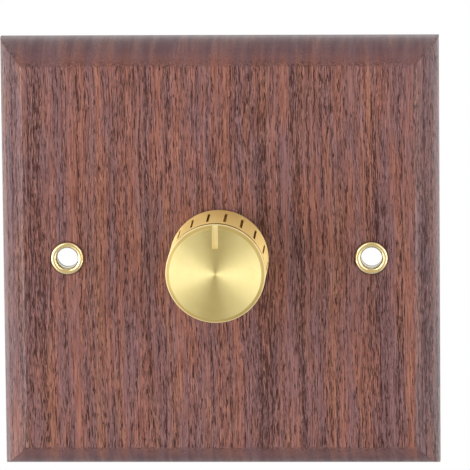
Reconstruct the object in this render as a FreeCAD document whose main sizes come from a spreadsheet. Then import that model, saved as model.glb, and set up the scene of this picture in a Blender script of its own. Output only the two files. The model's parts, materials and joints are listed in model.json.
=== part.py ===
import FreeCAD, Part
import math
import operator
import os
from collections import namedtuple
from types import SimpleNamespace

import Sketcher

# A rotary dimmer switch on a square hardwood plate, in millimetres.
# X runs to the right, Z up, and the knob faces -Y. Y = 0 is the wall that the plate's back lies on,
# and the origin is the middle of that back. At rest the knob points straight up, halfway through its turn.

# Driving dimensions, one spreadsheet cell each.
DRIVING = {
    # Wooden plate: its moulded edge is an arc that runs from a crease in the face to the side wall.
    "plate_width": 87.0,
    "plate_height": 86.0,
    "plate_depth": 11.0,
    "moulding_width": 4.7,
    "moulding_depth": 9.0,
    "crease_radius": 0.5,
    "web_thickness": 3.2,
    "recess_width": 72.0,
    "recess_height": 70.0,
    "recess_corner": 5.0,
    # Ferrules in the two fixing holes
    "fixing_pitch": 60.3,
    "ferrule_bore": 4.2,
    "ferrule_wall": 0.5,
    "ferrule_flange": 0.65,
    "ferrule_height": 0.7,
    "ferrule_edge": 0.45,
    "mouth_radius": 0.4,
    "ferrule_flare": 0.8,
    "ferrule_lip": 0.4,
    "lip_thickness": 0.4,
    # Clearances
    "fit_clearance": 0.05,
    "hole_clearance": 0.2,
    "moving_clearance": 0.3,
    "contact_clearance": 0.03,
    "overcut": 1.0,
    # Knob
    "knob_diameter": 19.6,
    "knob_length": 17.0,
    "knob_lift": 0.6,
    "knob_wall": 1.3,
    "knob_face": 1.8,
    "knob_chamfer": 0.8,
    "rim_width": 0.5,
    "groove_width": 1.0,
    "groove_depth": 0.5,
    "flute_count": 18,
    "flute_width": 0.5,
    "flute_depth": 0.6,
    "flute_lead": 2.0,
    "flute_land": 3.4,
    "pointer_width": 1.1,
    "pointer_length": 4.7,
    "pointer_depth": 0.6,
    "core_disc": 2.0,
    "core_hub_diameter": 10.0,
    "core_sleeve": 1.0,
    "core_rib_width": 1.2,
    "core_rib_count": 6,
    # Shaft and its retaining ring
    "shaft_diameter": 6.0,
    "shaft_flat": 2.1,
    "shaft_chamfer": 0.5,
    "shoulder_width": 1.0,
    "shoulder_thickness": 1.0,
    "ring_groove": 0.5,
    "ring_thickness": 0.6,
    "ring_width": 1.5,
    "ring_opening": 70.0,
    # Threaded bush, washer and nut
    "bush_diameter": 10.0,
    "bush_chamfer": 0.6,
    "bush_end": 1.0,
    "base_size": 20.0,
    "base_corner": 3.0,
    "base_thickness": 1.5,
    "pip_diameter": 2.0,
    "pip_height": 1.2,
    "pip_offset": 7.6,
    "washer_diameter": 15.0,
    "washer_thickness": 0.5,
    "nut_across_flats": 14.0,
    "nut_thickness": 2.0,
    # Potentiometer
    "can_diameter": 19.2,
    "can_wall": 0.5,
    "can_depth": 5.0,
    "wafer_thickness": 1.2,
    "wafer_tab_width": 14.0,
    "wafer_tab_length": 3.6,
    "lug_pitch": 5.0,
    "lug_width": 1.2,
    "lug_thickness": 0.5,
    "lug_length": 2.4,
    "carrier_diameter": 15.8,
    "carrier_thickness": 1.6,
    "wiper_height": 0.7,
    "strip_thickness": 0.35,
    "strip_width": 1.4,
    "dimple_diameter": 1.0,
    "travel_angle": 300.0,
    "stop_lug_angle": 20.0,
    "stop_margin": 1.0,
    # Rotary off switch behind the potentiometer
    "housing_depth": 5.5,
    "housing_wall": 1.2,
    "rotor_diameter": 15.2,
    "rotor_thickness": 2.7,
    "track_width": 1.6,
    "track_thickness": 0.4,
    "track_spacing": 1.2,
    "off_angle": 10.0,
    "pin_diameter": 1.0,
    # Moulded case, its cover and their screws
    "case_size": 46.0,
    "case_corner": 4.0,
    "case_wall": 2.0,
    "corner_block": 5.2,
    "ear_width": 11.0,
    "ear_length": 8.5,
    "ear_hole_inset": 4.5,
    "cover_thickness": 2.0,
    "cover_clearance": 0.15,
    "cover_post_diameter": 4.8,
    "vent_count": 5,
    "vent_width": 1.6,
    "vent_length": 15.0,
    "vent_pitch": 4.2,
    "headroom": 0.5,
    "screw_diameter": 2.2,
    "screw_head_diameter": 4.6,
    "screw_head_height": 1.5,
    "screw_slot_width": 0.6,
    "screw_slot_depth": 0.7,
    "screw_point": 0.9,
    "ear_screw_length": 4.4,
    "cover_screw_length": 22.0,
    # Circuit board and what is soldered to it
    "board_thickness": 1.6,
    "board_clearance": 0.3,
    "part_spacing": 1.0,
    "lead_diameter": 0.6,
    "lead_tail": 1.0,
    "sink_thickness": 1.5,
    "sink_flange": 5.0,
    "triac_lift": 0.3,
    "triac_width": 10.0,
    "triac_body": 9.2,
    "triac_thickness": 4.5,
    "triac_tab_length": 6.3,
    "triac_tab_thickness": 1.3,
    "triac_hole_diameter": 3.4,
    "triac_lead_pitch": 2.54,
    "triac_lead_drop": 1.5,
    "triac_screw_head": 5.0,
    "choke_diameter": 17.0,
    "choke_bore": 6.6,
    "choke_height": 6.8,
    "choke_wire": 0.8,
    "choke_turns": 16,
    "capacitor_length": 13.0,
    "capacitor_width": 6.0,
    "capacitor_height": 11.0,
    "capacitor_edge": 0.8,
    "small_capacitor_length": 7.2,
    "small_capacitor_width": 2.6,
    "small_capacitor_height": 7.0,
    "resistor_length": 5.0,
    "resistor_diameter": 2.3,
    "diac_length": 3.8,
    "diac_diameter": 1.9,
    "axial_pitch": 7.6,
    # Terminal block
    "block_height": 12.0,
    "block_step": 2.0,
    "block_floor": 2.0,
    "terminal_count": 3,
    "terminal_pitch": 13.0,
    "clamp_wall": 0.8,
    "clamp_opening": 4.8,
    "clamp_thread_wall": 2.0,
    "clamp_length": 6.8,
    "clamp_inset": 0.6,
    "terminal_screw_diameter": 2.9,
    "terminal_head_diameter": 4.2,
    "terminal_head_height": 1.8,
    "terminal_screw_lift": 1.4,
    "barrier_width": 1.2,
    "barrier_height": 0.8,
}

SHEET_NAME = "Sizes"

# Origin planes and axes of a body. The sign tells which way the plane's normal points along its axis.
XY, XZ, YZ = "XY_Plane", "XZ_Plane", "YZ_Plane"
NORMAL_SIGN = {XY: 1, XZ: -1, YZ: 1}
FRONT_TO_BACK_AXIS = "Y_Axis"

# Sketch indices of the two axes, and of a curve's start, end and centre.
HORIZONTAL_AXIS, VERTICAL_AXIS = -1, -2
START, END, CENTRE = range(1, 4)
UPRIGHT = FreeCAD.Vector(0, 0, 1)

FULL_ANGLE = 360
SMALLEST_CUT = 1e-4

OPERATIONS = {"+": operator.add, "-": operator.sub, "*": operator.mul, "/": operator.truediv}

Circle = namedtuple("Circle", "x y radius")

doc = FreeCAD.newDocument("rotary_dimmer")
nodes = {}


class Size:
    """A dimension known both as a number and as the sheet expression that keeps it bound."""

    def __init__(self, value, text):
        self.value = value
        self.text = text

    def __add__(self, other):
        return combine(self, "+", other)

    def __radd__(self, other):
        return combine(other, "+", self)

    def __sub__(self, other):
        return combine(self, "-", other)

    def __rsub__(self, other):
        return combine(other, "-", self)

    def __mul__(self, other):
        return combine(self, "*", other)

    def __rmul__(self, other):
        return combine(other, "*", self)

    def __truediv__(self, other):
        return combine(self, "/", other)

    def __rtruediv__(self, other):
        return combine(other, "/", self)

    def __neg__(self):
        return Size(-self.value, f"-({self.text})")


def as_size(thing):
    return thing if isinstance(thing, Size) else Size(thing, str(thing))


def combine(left, sign, right):
    left, right = as_size(left), as_size(right)
    return Size(OPERATIONS[sign](left.value, right.value), f"({left.text} {sign} {right.text})")


def square_root(thing):
    return Size(math.sqrt(thing.value), f"sqrt({thing.text})")


def largest(*things):
    return Size(max(thing.value for thing in things), f"max({'; '.join(thing.text for thing in things)})")


def sizes_from_sheet():
    """Fill the spreadsheet, one dimension a row, and give each one back as a bound Size."""
    sheet = doc.addObject("Spreadsheet::Sheet", SHEET_NAME)
    for row, (name, value) in enumerate(DRIVING.items(), start=1):
        sheet.set(f"A{row}", name)
        sheet.set(f"B{row}", str(value))
        sheet.setAlias(f"B{row}", name)
    doc.recompute()
    return SimpleNamespace(**{name: Size(value, f"{SHEET_NAME}.{name}") for name, value in DRIVING.items()})


# Sketching: every corner, centre and radius is bound to the sheet.


def bind(sketch, constraint, size):
    index = sketch.addConstraint(constraint)
    sketch.setExpression(f"Constraints[{index}]", size.text)


def fix_point(sketch, curve, point, x, y):
    for kind, axis, place in (("DistanceX", VERTICAL_AXIS, x), ("DistanceY", HORIZONTAL_AXIS, y)):
        place = as_size(place)
        if place.value == 0:
            sketch.addConstraint(Sketcher.Constraint("PointOnObject", curve, point, axis))
        else:
            bind(sketch, Sketcher.Constraint(kind, curve, point, place.value), place)


def arc_between(start, end, radius):
    """The arc of under half a turn from start to end, leftwards for a radius above zero."""
    chord = end - start
    side = FreeCAD.Vector(-chord.y, chord.x, 0).normalize() * math.copysign(1, radius)
    centre = (start + end) * 0.5 + side * math.sqrt(radius**2 - (chord.Length / 2) ** 2)
    first, last = (start, end) if radius > 0 else (end, start)
    angles = [math.atan2(point.y - centre.y, point.x - centre.x) for point in (first, last)]
    return Part.ArcOfCircle(Part.Circle(centre, UPRIGHT, abs(radius)), *angles)


def draw_outline(sketch, corners):
    """A closed outline of lines and arcs. A corner's third value is the radius of the arc that leaves it."""
    points = [FreeCAD.Vector(as_size(c[0]).value, as_size(c[1]).value, 0) for c in corners]
    curves = []
    for corner, start, end in zip(corners, points, points[1:] + points[:1]):
        if len(corner) == 2:
            curves.append((sketch.addGeometry(Part.LineSegment(start, end)), START, END))
            continue
        radius = as_size(corner[2])
        arc = sketch.addGeometry(arc_between(start, end, radius.value))
        ends = (START, END) if radius.value > 0 else (END, START)
        curves.append((arc, *ends))
        length = radius if radius.value > 0 else -radius
        bind(sketch, Sketcher.Constraint("Radius", arc, length.value), length)
    for (curve, _, end), (following, start, _) in zip(curves, curves[1:] + curves[:1]):
        sketch.addConstraint(Sketcher.Constraint("Coincident", curve, end, following, start))
    for (curve, start, _), corner in zip(curves, corners):
        fix_point(sketch, curve, start, corner[0], corner[1])


def draw_circle(sketch, circle):
    x, y, radius = (as_size(part) for part in circle)
    curve = sketch.addGeometry(Part.Circle(FreeCAD.Vector(x.value, y.value, 0), UPRIGHT, radius.value))
    bind(sketch, Sketcher.Constraint("Radius", curve, radius.value), radius)
    fix_point(sketch, curve, CENTRE, x, y)


def rectangle(left, right, bottom, top, lower_corner=None, upper_corner=None):
    """Corners of an upright rectangle, anticlockwise, with its lower and upper corners rounded if asked."""
    corners = []
    if lower_corner:
        corners += [(left, bottom + lower_corner, lower_corner), (left + lower_corner, bottom)]
        corners += [(right - lower_corner, bottom, lower_corner), (right, bottom + lower_corner)]
    else:
        corners += [(left, bottom), (right, bottom)]
    if upper_corner:
        corners += [(right, top - upper_corner, upper_corner), (right - upper_corner, top)]
        corners += [(left + upper_corner, top, upper_corner), (left, top - upper_corner)]
    else:
        corners += [(right, top), (left, top)]
    return corners


def centred_rectangle(width, height, corner=None):
    return rectangle(-width / 2, width / 2, -height / 2, height / 2, corner, corner)


def flatted_circle(radius, flat):
    """A round with a flat across its top, the section of a D shaft or of its bore."""
    half_chord = square_root(radius * radius - flat * flat)
    return [(-half_chord, flat, radius), (0, -radius, radius), (half_chord, flat)]


# Features of a body


def new_body(name):
    body = doc.addObject("PartDesign::Body", name)
    body.Label = name
    return body


def origin_feature(body, role):
    return next(feature for feature in body.Origin.OriginFeatures if feature.Role == role)


def new_sketch(body, name, plane, place, loops, turned=None):
    """A sketch parallel to an origin plane, at a place along that plane's axis."""
    sketch = body.newObject("Sketcher::SketchObject", f"{body.Name}_{name}_sketch")
    sketch.AttachmentSupport = [(origin_feature(body, plane), "")]
    sketch.MapMode = "FlatFace"
    height = as_size(place) * NORMAL_SIGN[plane]
    if turned is not None:
        spin = FreeCAD.Rotation(UPRIGHT, turned.value)
        sketch.AttachmentOffset = FreeCAD.Placement(FreeCAD.Vector(), spin)
        sketch.setExpression("AttachmentOffset.Rotation.Angle", turned.text)
    sketch.setExpression("AttachmentOffset.Base.z", height.text)
    for loop in loops:
        if isinstance(loop, Circle):
            draw_circle(sketch, loop)
        else:
            draw_outline(sketch, loop)
    return sketch


def extrude(kind, body, name, plane, place, length, loops, turned=None):
    feature = body.newObject(f"PartDesign::{kind}", f"{body.Name}_{name}")
    feature.Profile = new_sketch(body, name, plane, place, loops, turned)
    feature.setExpression("Length", length.text)
    return feature


def add(body, name, plane, start, end, *loops):
    """Material from start to end along the plane's axis."""
    place = start if NORMAL_SIGN[plane] > 0 else end
    return extrude("Pad", body, name, plane, place, end - start, loops)


def cut(body, name, plane, start, end, *loops, turned=None):
    """An opening from start to end along the plane's axis."""
    place = end if NORMAL_SIGN[plane] > 0 else start
    return extrude("Pocket", body, name, plane, place, end - start, loops, turned)


def turn(body, name, profile, clockwise=None, anticlockwise=None):
    """A turned form about the front-to-back axis. The profile's corners are (depth along Y, radius).

    A part turn is given by its two angles from straight up, as seen from the front.
    """
    feature = body.newObject("PartDesign::Revolution", f"{body.Name}_{name}")
    feature.Profile = new_sketch(body, name, YZ, 0, [profile])
    feature.ReferenceAxis = (feature.Profile[0], ["H_Axis"])
    feature.Angle = FULL_ANGLE
    if clockwise is not None:
        feature.Type = "TwoAngles"
        feature.setExpression("Angle", clockwise.text)
        feature.setExpression("Angle2", anticlockwise.text)
    return feature


def pattern_round(body, name, features, count):
    pattern = body.newObject("PartDesign::PolarPattern", f"{body.Name}_{name}")
    pattern.Originals = features
    pattern.Axis = (origin_feature(body, FRONT_TO_BACK_AXIS), [""])
    pattern.Angle = FULL_ANGLE
    pattern.setExpression("Occurrences", count.text)
    body.Tip = pattern


def mirror(body, name, features, plane):
    mirrored = body.newObject("PartDesign::Mirrored", f"{body.Name}_{name}")
    mirrored.Originals = features
    mirrored.MirrorPlane = (origin_feature(body, plane), [""])
    body.Tip = mirrored


def place_body(body, x=None, y=None, z=None):
    for axis, place in (("x", x), ("y", y), ("z", z)):
        if place is not None:
            body.setExpression(f"Placement.Base.{axis}", as_size(place).text)


def keep(name, thing):
    """Register a finished sub-part under the name of its node."""
    thing.Label = name
    nodes[name] = thing


def keep_group(name, members):
    group = doc.addObject("Part::Compound", name)
    group.Links = members
    keep(name, group)


size = sizes_from_sheet()

# Places along Y, from the plate's face back to the cover, each stacked on the one before.
face_y = -size.plate_depth
web_back_y = face_y + size.web_thickness
case_front_y = web_back_y
case_floor_y = case_front_y + size.case_wall
base_back_y = case_floor_y + size.base_thickness
wafer_back_y = base_back_y + size.wafer_thickness
carrier_front_y = wafer_back_y + size.wiper_height
carrier_back_y = carrier_front_y + size.carrier_thickness
can_back_y = base_back_y + size.can_depth
housing_back_y = can_back_y + size.housing_depth
housing_floor_y = housing_back_y - size.housing_wall
track_front_y = housing_floor_y - size.track_thickness
rotor_back_y = track_front_y - size.contact_clearance - size.strip_thickness - size.contact_clearance
rotor_front_y = rotor_back_y - size.rotor_thickness
board_front_y = housing_back_y
board_back_y = board_front_y + size.board_thickness
triac_low_y = board_back_y + size.triac_lift
triac_high_y = triac_low_y + size.triac_width
sink_far_y = triac_high_y + size.moving_clearance + size.sink_thickness
tallest = largest(sink_far_y - board_back_y, size.choke_height, size.capacitor_height,
                  size.small_capacitor_height)
cover_front_y = board_back_y + tallest + size.headroom
case_back_y = cover_front_y + size.cover_thickness

# Places along Y in front of the face, under and in the knob.
washer_front_y = face_y - size.washer_thickness
nut_front_y = washer_front_y - size.nut_thickness
bush_front_y = nut_front_y - size.bush_end
ring_back_y = bush_front_y - size.contact_clearance
ring_front_y = ring_back_y - size.ring_thickness
core_back_y = ring_front_y - size.moving_clearance
knob_back_y = face_y - size.knob_lift
knob_front_y = knob_back_y - size.knob_length
core_front_y = knob_front_y + size.knob_face
bore_front_y = core_front_y + size.core_disc
shaft_front_y = bore_front_y + size.moving_clearance
shaft_back_y = rotor_back_y - size.housing_wall

# Radii and half widths that several pieces share.
knob_radius = size.knob_diameter / 2
knob_inner_radius = knob_radius - size.knob_wall
shaft_radius = size.shaft_diameter / 2
bush_radius = size.bush_diameter / 2
ferrule_bore_radius = size.ferrule_bore / 2
ferrule_tube_radius = ferrule_bore_radius + size.ferrule_wall
can_radius = size.can_diameter / 2
can_inner_radius = can_radius - size.can_wall
case_half = size.case_size / 2
case_inner_half = case_half - size.case_wall
case_inner_corner = size.case_corner - size.case_wall
ear_hole_z = case_half + size.ear_length - size.ear_hole_inset
corner_place = case_inner_half - size.corner_block / 2
screw_radius = size.screw_diameter / 2
screw_hole_radius = screw_radius + size.fit_clearance
lead_radius = size.lead_diameter / 2
lead_hole_radius = lead_radius + size.fit_clearance
lead_front_y = board_front_y - size.lead_tail
pin_radius = size.pin_diameter / 2
pin_hole_radius = pin_radius + size.fit_clearance


# Wooden plate


def moulding_waste(half_width):
    """What the moulding cutter takes off one edge, as (across the plate, depth along Y).

    The moulding is one arc, which leaves the face at a crease and runs out along the side wall, so its radius
    follows from its width and depth. The crease is eased by a smaller arc that touches the face and, from
    within, the moulding's own arc.
    """
    width, depth = size.moulding_width, size.moulding_depth
    radius = (width * width + depth * depth) / width / 2
    middle_x, middle_y = half_width - radius, face_y + depth
    reach, drop = radius - size.crease_radius, depth - size.crease_radius
    across = square_root(reach * reach - drop * drop)
    ease_x = middle_x + across
    outer = half_width + size.overcut
    return [
        (ease_x, face_y, size.crease_radius),
        (middle_x + across * radius / reach, middle_y - drop * radius / reach, radius),
        (half_width, middle_y),
        (outer, middle_y),
        (outer, face_y - size.overcut),
        (ease_x, face_y - size.overcut),
    ]


def swapped(corners):
    """The same outline with its two directions exchanged, so that its arcs turn the other way."""
    return [(c[1], c[0]) if len(c) == 2 else (c[1], c[0], -c[2]) for c in corners]


def make_plate():
    body = new_body("wooden_plate")
    half_width, half_height = size.plate_width / 2, size.plate_height / 2
    add(body, "blank", XZ, face_y, as_size(0), centred_rectangle(size.plate_width, size.plate_height))
    run = half_height + size.overcut
    side = cut(body, "side_moulding", XY, -run, run, moulding_waste(half_width))
    mirror(body, "other_side_moulding", [side], YZ)
    run = half_width + size.overcut
    upper = cut(body, "upper_moulding", YZ, -run, run, swapped(moulding_waste(half_height)))
    mirror(body, "lower_moulding", [upper], XY)
    recess = centred_rectangle(size.recess_width, size.recess_height, size.recess_corner)
    cut(body, "recess", XZ, web_back_y, size.overcut, recess)
    ferrule_hole = ferrule_tube_radius + size.fit_clearance
    through = [Circle(0, 0, bush_radius + size.hole_clearance)]
    through += [Circle(side * size.fixing_pitch / 2, 0, ferrule_hole) for side in (-1, 1)]
    cut(body, "holes", XZ, face_y - size.overcut, web_back_y + size.overcut, *through)
    pilot_y = case_floor_y - size.ear_screw_length - size.hole_clearance
    pilots = [Circle(0, side * ear_hole_z, screw_hole_radius) for side in (-1, 1)]
    cut(body, "pilot_holes", XZ, pilot_y, web_back_y + size.overcut, *pilots)
    keep("wooden_plate", body)


def make_ferrule(name, side):
    """A turned brass ferrule: raised rim, rounded mouth, tube through the web and a flared, clinched lip."""
    body = new_body(name)
    front_y = face_y - size.ferrule_height
    flange_radius = ferrule_tube_radius + size.ferrule_flange
    lip_radius = ferrule_tube_radius + size.ferrule_lip
    lip_back_y = web_back_y + size.lip_thickness
    turn(body, "profile", [
        (lip_back_y, ferrule_bore_radius + size.ferrule_flare, -size.ferrule_flare),
        (lip_back_y - size.ferrule_flare, ferrule_bore_radius),
        (front_y + size.mouth_radius, ferrule_bore_radius, -size.mouth_radius),
        (front_y, ferrule_bore_radius + size.mouth_radius),
        (front_y, flange_radius - size.ferrule_edge, -size.ferrule_edge),
        (front_y + size.ferrule_edge, flange_radius),
        (face_y, flange_radius),
        (face_y, ferrule_tube_radius),
        (web_back_y, ferrule_tube_radius),
        (web_back_y, lip_radius),
        (lip_back_y, lip_radius),
    ])
    place_body(body, x=side * size.fixing_pitch / 2)
    keep(name, body)


# Knob


def make_knob_shell():
    """The turned cap: spun face, chamfered rim, a groove behind the rim, flutes and the pointer slot."""
    body = new_body("knob_shell")
    groove_front_y = knob_front_y + size.knob_chamfer + size.rim_width
    groove_back_y = groove_front_y + size.groove_width
    groove_radius = knob_radius - size.groove_depth
    turn(body, "profile", [
        (knob_front_y, 0),
        (knob_front_y, knob_radius - size.knob_chamfer),
        (knob_front_y + size.knob_chamfer, knob_radius),
        (groove_front_y, knob_radius),
        (groove_front_y, groove_radius),
        (groove_back_y, groove_radius),
        (groove_back_y, knob_radius),
        (knob_back_y, knob_radius),
        (knob_back_y, knob_inner_radius),
        (core_front_y, knob_inner_radius),
        (core_front_y, 0),
    ])
    pointer = rectangle(-size.pointer_width / 2, size.pointer_width / 2,
                        knob_radius - size.pointer_length, knob_radius + size.overcut)
    cut(body, "pointer", XZ, knob_front_y - size.overcut, knob_front_y + size.pointer_depth, pointer)
    flute = rectangle(-size.flute_width / 2, size.flute_width / 2,
                      knob_radius - size.flute_depth, knob_radius + size.overcut)
    half_pitch = FULL_ANGLE / size.flute_count / 2
    flute_front_y = groove_back_y + size.flute_lead
    first = cut(body, "flute", XZ, flute_front_y, knob_back_y - size.flute_land, flute, turned=half_pitch)
    pattern_round(body, "flutes", [first], size.flute_count)
    keep("knob_shell", body)


def make_knob_core():
    """The moulded insert: a disc under the cap's face, a sleeve, a hub with a D bore, and ribs between."""
    body = new_body("knob_core")
    outer = knob_inner_radius - size.fit_clearance
    sleeve = outer - size.core_sleeve
    hub = size.core_hub_diameter / 2
    turn(body, "profile", [
        (core_front_y, 0),
        (core_front_y, outer),
        (core_back_y, outer),
        (core_back_y, sleeve),
        (bore_front_y, sleeve),
        (bore_front_y, hub),
        (core_back_y, hub),
        (core_back_y, 0),
    ])
    rib_back_y = core_back_y - size.core_sleeve
    rib = rectangle(-size.core_rib_width / 2, size.core_rib_width / 2,
                    hub - size.core_sleeve / 2, sleeve + size.core_sleeve / 2)
    first = add(body, "rib", XZ, bore_front_y, rib_back_y, rib)
    pattern_round(body, "ribs", [first], size.core_rib_count)
    bore = flatted_circle(shaft_radius + size.fit_clearance, size.shaft_flat + size.fit_clearance)
    cut(body, "bore", XZ, bore_front_y, core_back_y + size.overcut, bore)
    keep("knob_core", body)


# Shaft and its retaining ring


def make_shaft():
    """A turned shaft with a groove for the ring, a shoulder behind the bush, and a flat at each end."""
    body = new_body("shaft")
    groove_radius = shaft_radius - size.ring_groove
    groove_front_y = ring_front_y - size.fit_clearance
    groove_back_y = ring_back_y + size.fit_clearance / 2
    shoulder_radius = shaft_radius + size.shoulder_width
    shoulder_front_y = base_back_y + size.fit_clearance
    shoulder_back_y = shoulder_front_y + size.shoulder_thickness
    turn(body, "profile", [
        (shaft_front_y, 0),
        (shaft_front_y, shaft_radius - size.shaft_chamfer),
        (shaft_front_y + size.shaft_chamfer, shaft_radius),
        (groove_front_y, shaft_radius),
        (groove_front_y, groove_radius),
        (groove_back_y, groove_radius),
        (groove_back_y, shaft_radius),
        (shoulder_front_y, shaft_radius),
        (shoulder_front_y, shoulder_radius),
        (shoulder_back_y, shoulder_radius),
        (shoulder_back_y, shaft_radius),
        (shaft_back_y, shaft_radius),
        (shaft_back_y, 0),
    ])
    waste = rectangle(-size.shaft_diameter, size.shaft_diameter, size.shaft_flat, size.shaft_diameter)
    cut(body, "front_flat", XZ, shaft_front_y - size.overcut, core_back_y, waste)
    cut(body, "rear_flat", XZ, carrier_front_y, shaft_back_y + size.overcut, waste)
    keep("shaft", body)


def make_shaft_clip():
    """An open retaining ring in the shaft's groove, its opening at the bottom."""
    body = new_body("shaft_clip")
    inner = shaft_radius - size.ring_groove + size.fit_clearance
    outer = inner + size.ring_width
    half_turn = (FULL_ANGLE - size.ring_opening) / 2
    profile = rectangle(ring_front_y, ring_back_y, inner, outer)
    turn(body, "profile", profile, half_turn, half_turn)
    keep("shaft_clip", body)


# Bush, washer and nut


def make_bush():
    """The threaded bush with its square base, and a pip on the base that stops it turning in the case."""
    body = new_body("threaded_bush")
    bore = shaft_radius + size.fit_clearance
    turn(body, "tube", [
        (bush_front_y, bore),
        (bush_front_y, bush_radius - size.bush_chamfer),
        (bush_front_y + size.bush_chamfer, bush_radius),
        (base_back_y, bush_radius),
        (base_back_y, bore),
    ])
    base = centred_rectangle(size.base_size, size.base_size, size.base_corner)
    add(body, "base", XZ, case_floor_y, base_back_y, base, Circle(0, 0, bore))
    pip = Circle(size.pip_offset, 0, size.pip_diameter / 2)
    add(body, "pip", XZ, case_floor_y - size.pip_height, case_floor_y, pip)
    keep("threaded_bush", body)


def make_washer():
    body = new_body("bush_washer")
    hole = Circle(0, 0, bush_radius + size.hole_clearance)
    add(body, "ring", XZ, washer_front_y, face_y, Circle(0, 0, size.washer_diameter / 2), hole)
    keep("bush_washer", body)


def make_nut():
    body = new_body("bush_nut")
    flat = size.nut_across_flats / 2
    half_side = flat / square_root(as_size(3))
    hexagon = [(half_side, -flat), (half_side * 2, 0), (half_side, flat),
               (-half_side, flat), (-half_side * 2, 0), (-half_side, -flat)]
    thread_hole = Circle(0, 0, bush_radius + size.fit_clearance)
    add(body, "hexagon", XZ, nut_front_y, washer_front_y, hexagon, thread_hole)
    keep("bush_nut", body)


# Potentiometer


def make_wafer():
    """The phenolic wafer that carries the resistance track, with a tab at the bottom for its lugs."""
    body = new_body("resistor_wafer")
    add(body, "disc", XZ, base_back_y, wafer_back_y, Circle(0, 0, can_inner_radius - size.fit_clearance))
    tab_width = size.wafer_tab_width / 2
    tab = rectangle(-tab_width, tab_width, -(can_radius + size.wafer_tab_length), -can_inner_radius / 2)
    add(body, "tab", XZ, base_back_y, wafer_back_y, tab)
    hole = shaft_radius + size.shoulder_width + size.moving_clearance
    cut(body, "hole", XZ, base_back_y - size.overcut, wafer_back_y + size.overcut, Circle(0, 0, hole))
    keep("resistor_wafer", body)


lug_end_z = -(can_radius + size.wafer_tab_length)
lug_xs = [place * size.lug_pitch for place in (-1, 0, 1)]


def make_pot_terminals():
    """Three bent lugs, flat on the wafer's tab and then straight back through the board."""
    lugs = []
    back_y = board_back_y + size.lead_tail
    for index, x in enumerate(lug_xs, start=1):
        body = new_body(f"pot_terminal_{index}")
        bend = [
            (wafer_back_y, lug_end_z),
            (back_y, lug_end_z),
            (back_y, lug_end_z + size.lug_thickness),
            (wafer_back_y + size.lug_thickness, lug_end_z + size.lug_thickness),
            (wafer_back_y + size.lug_thickness, lug_end_z + size.lug_length),
            (wafer_back_y, lug_end_z + size.lug_length),
        ]
        add(body, "bend", YZ, x - size.lug_width / 2, x + size.lug_width / 2, bend)
        lugs.append(body)
    keep_group("pot_terminals", lugs)


def make_can():
    """The drawn can over the wafer and the wiper, with a stop tab bent inwards at the bottom."""
    body = new_body("pot_can")
    inner_back_y = can_back_y - size.can_wall
    hole = shaft_radius + size.moving_clearance
    turn(body, "cup", [
        (base_back_y, can_inner_radius),
        (base_back_y, can_radius),
        (can_back_y, can_radius),
        (can_back_y, hole),
        (inner_back_y, hole),
        (inner_back_y, can_inner_radius),
    ])
    stop_inner = size.carrier_diameter / 2 + size.moving_clearance
    stop_half = (FULL_ANGLE - size.travel_angle - size.stop_lug_angle) / 2 - size.stop_margin
    stop = rectangle(carrier_front_y, inner_back_y, -(can_radius - size.can_wall / 2), -stop_inner)
    turn(body, "stop_tab", stop, stop_half, stop_half)
    half = size.wafer_tab_width / 2 + size.fit_clearance
    notch = rectangle(-half, half, -(can_radius + size.overcut), -stop_inner / 2)
    cut(body, "tab_notch", XZ, base_back_y - size.overcut, wafer_back_y + size.fit_clearance, notch)
    keep("pot_can", body)


def make_carrier():
    """The moulded wiper carrier on the shaft's rear flat, with the lug that meets the stop tab."""
    body = new_body("wiper_carrier")
    radius = size.carrier_diameter / 2
    profile = [(carrier_front_y, 0), (carrier_front_y, radius), (carrier_back_y, radius), (carrier_back_y, 0)]
    turn(body, "disc", profile)
    lug = rectangle(carrier_front_y, carrier_back_y, radius - size.moving_clearance,
                    can_inner_radius - size.moving_clearance)
    turn(body, "stop_lug", lug, size.stop_lug_angle / 2, size.stop_lug_angle / 2)
    bore = flatted_circle(shaft_radius + size.fit_clearance, size.shaft_flat + size.fit_clearance)
    cut(body, "bore", XZ, carrier_front_y - size.overcut, carrier_back_y + size.overcut, bore)
    keep("wiper_carrier", body)


def make_wiper():
    """The sprung wiper: a ring round the shaft, an arm, and a dimple that rubs on the wafer's track."""
    body = new_body("wiper_contact")
    ring_inner = shaft_radius + size.shoulder_width
    ring_outer = ring_inner + size.strip_width
    arm_end = size.carrier_diameter / 2 - size.moving_clearance
    front_y = carrier_front_y - size.strip_thickness
    ring = [Circle(0, 0, ring_outer), Circle(0, 0, ring_inner)]
    add(body, "ring", XZ, front_y, carrier_front_y, *ring)
    half = size.strip_width / 2
    arm = rectangle(-half, half, ring_outer - half, arm_end)
    add(body, "arm", XZ, front_y, carrier_front_y, arm)
    dimple = Circle(0, arm_end - half, size.dimple_diameter / 2)
    add(body, "dimple", XZ, wafer_back_y + size.contact_clearance, front_y, dimple)
    keep("wiper_contact", body)


# Rotary off switch

inner_track = shaft_radius + size.moving_clearance
outer_track = inner_track + size.track_width + size.track_spacing
inner_track_mid = inner_track + size.track_width / 2
outer_track_mid = outer_track + size.track_width / 2


def make_switch_housing():
    """The moulded cup of the switch, open towards the can, with holes for the pins of its tracks."""
    body = new_body("switch_housing")
    inner = can_radius - size.housing_wall
    turn(body, "cup", [
        (can_back_y, inner),
        (can_back_y, can_radius),
        (housing_back_y, can_radius),
        (housing_back_y, 0),
        (housing_floor_y, 0),
        (housing_floor_y, inner),
    ])
    pins = [Circle(inner_track_mid, 0, pin_hole_radius), Circle(-outer_track_mid, 0, pin_hole_radius)]
    cut(body, "pin_holes", XZ, housing_floor_y - size.overcut, housing_back_y + size.overcut, *pins)
    keep("switch_housing", body)


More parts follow.
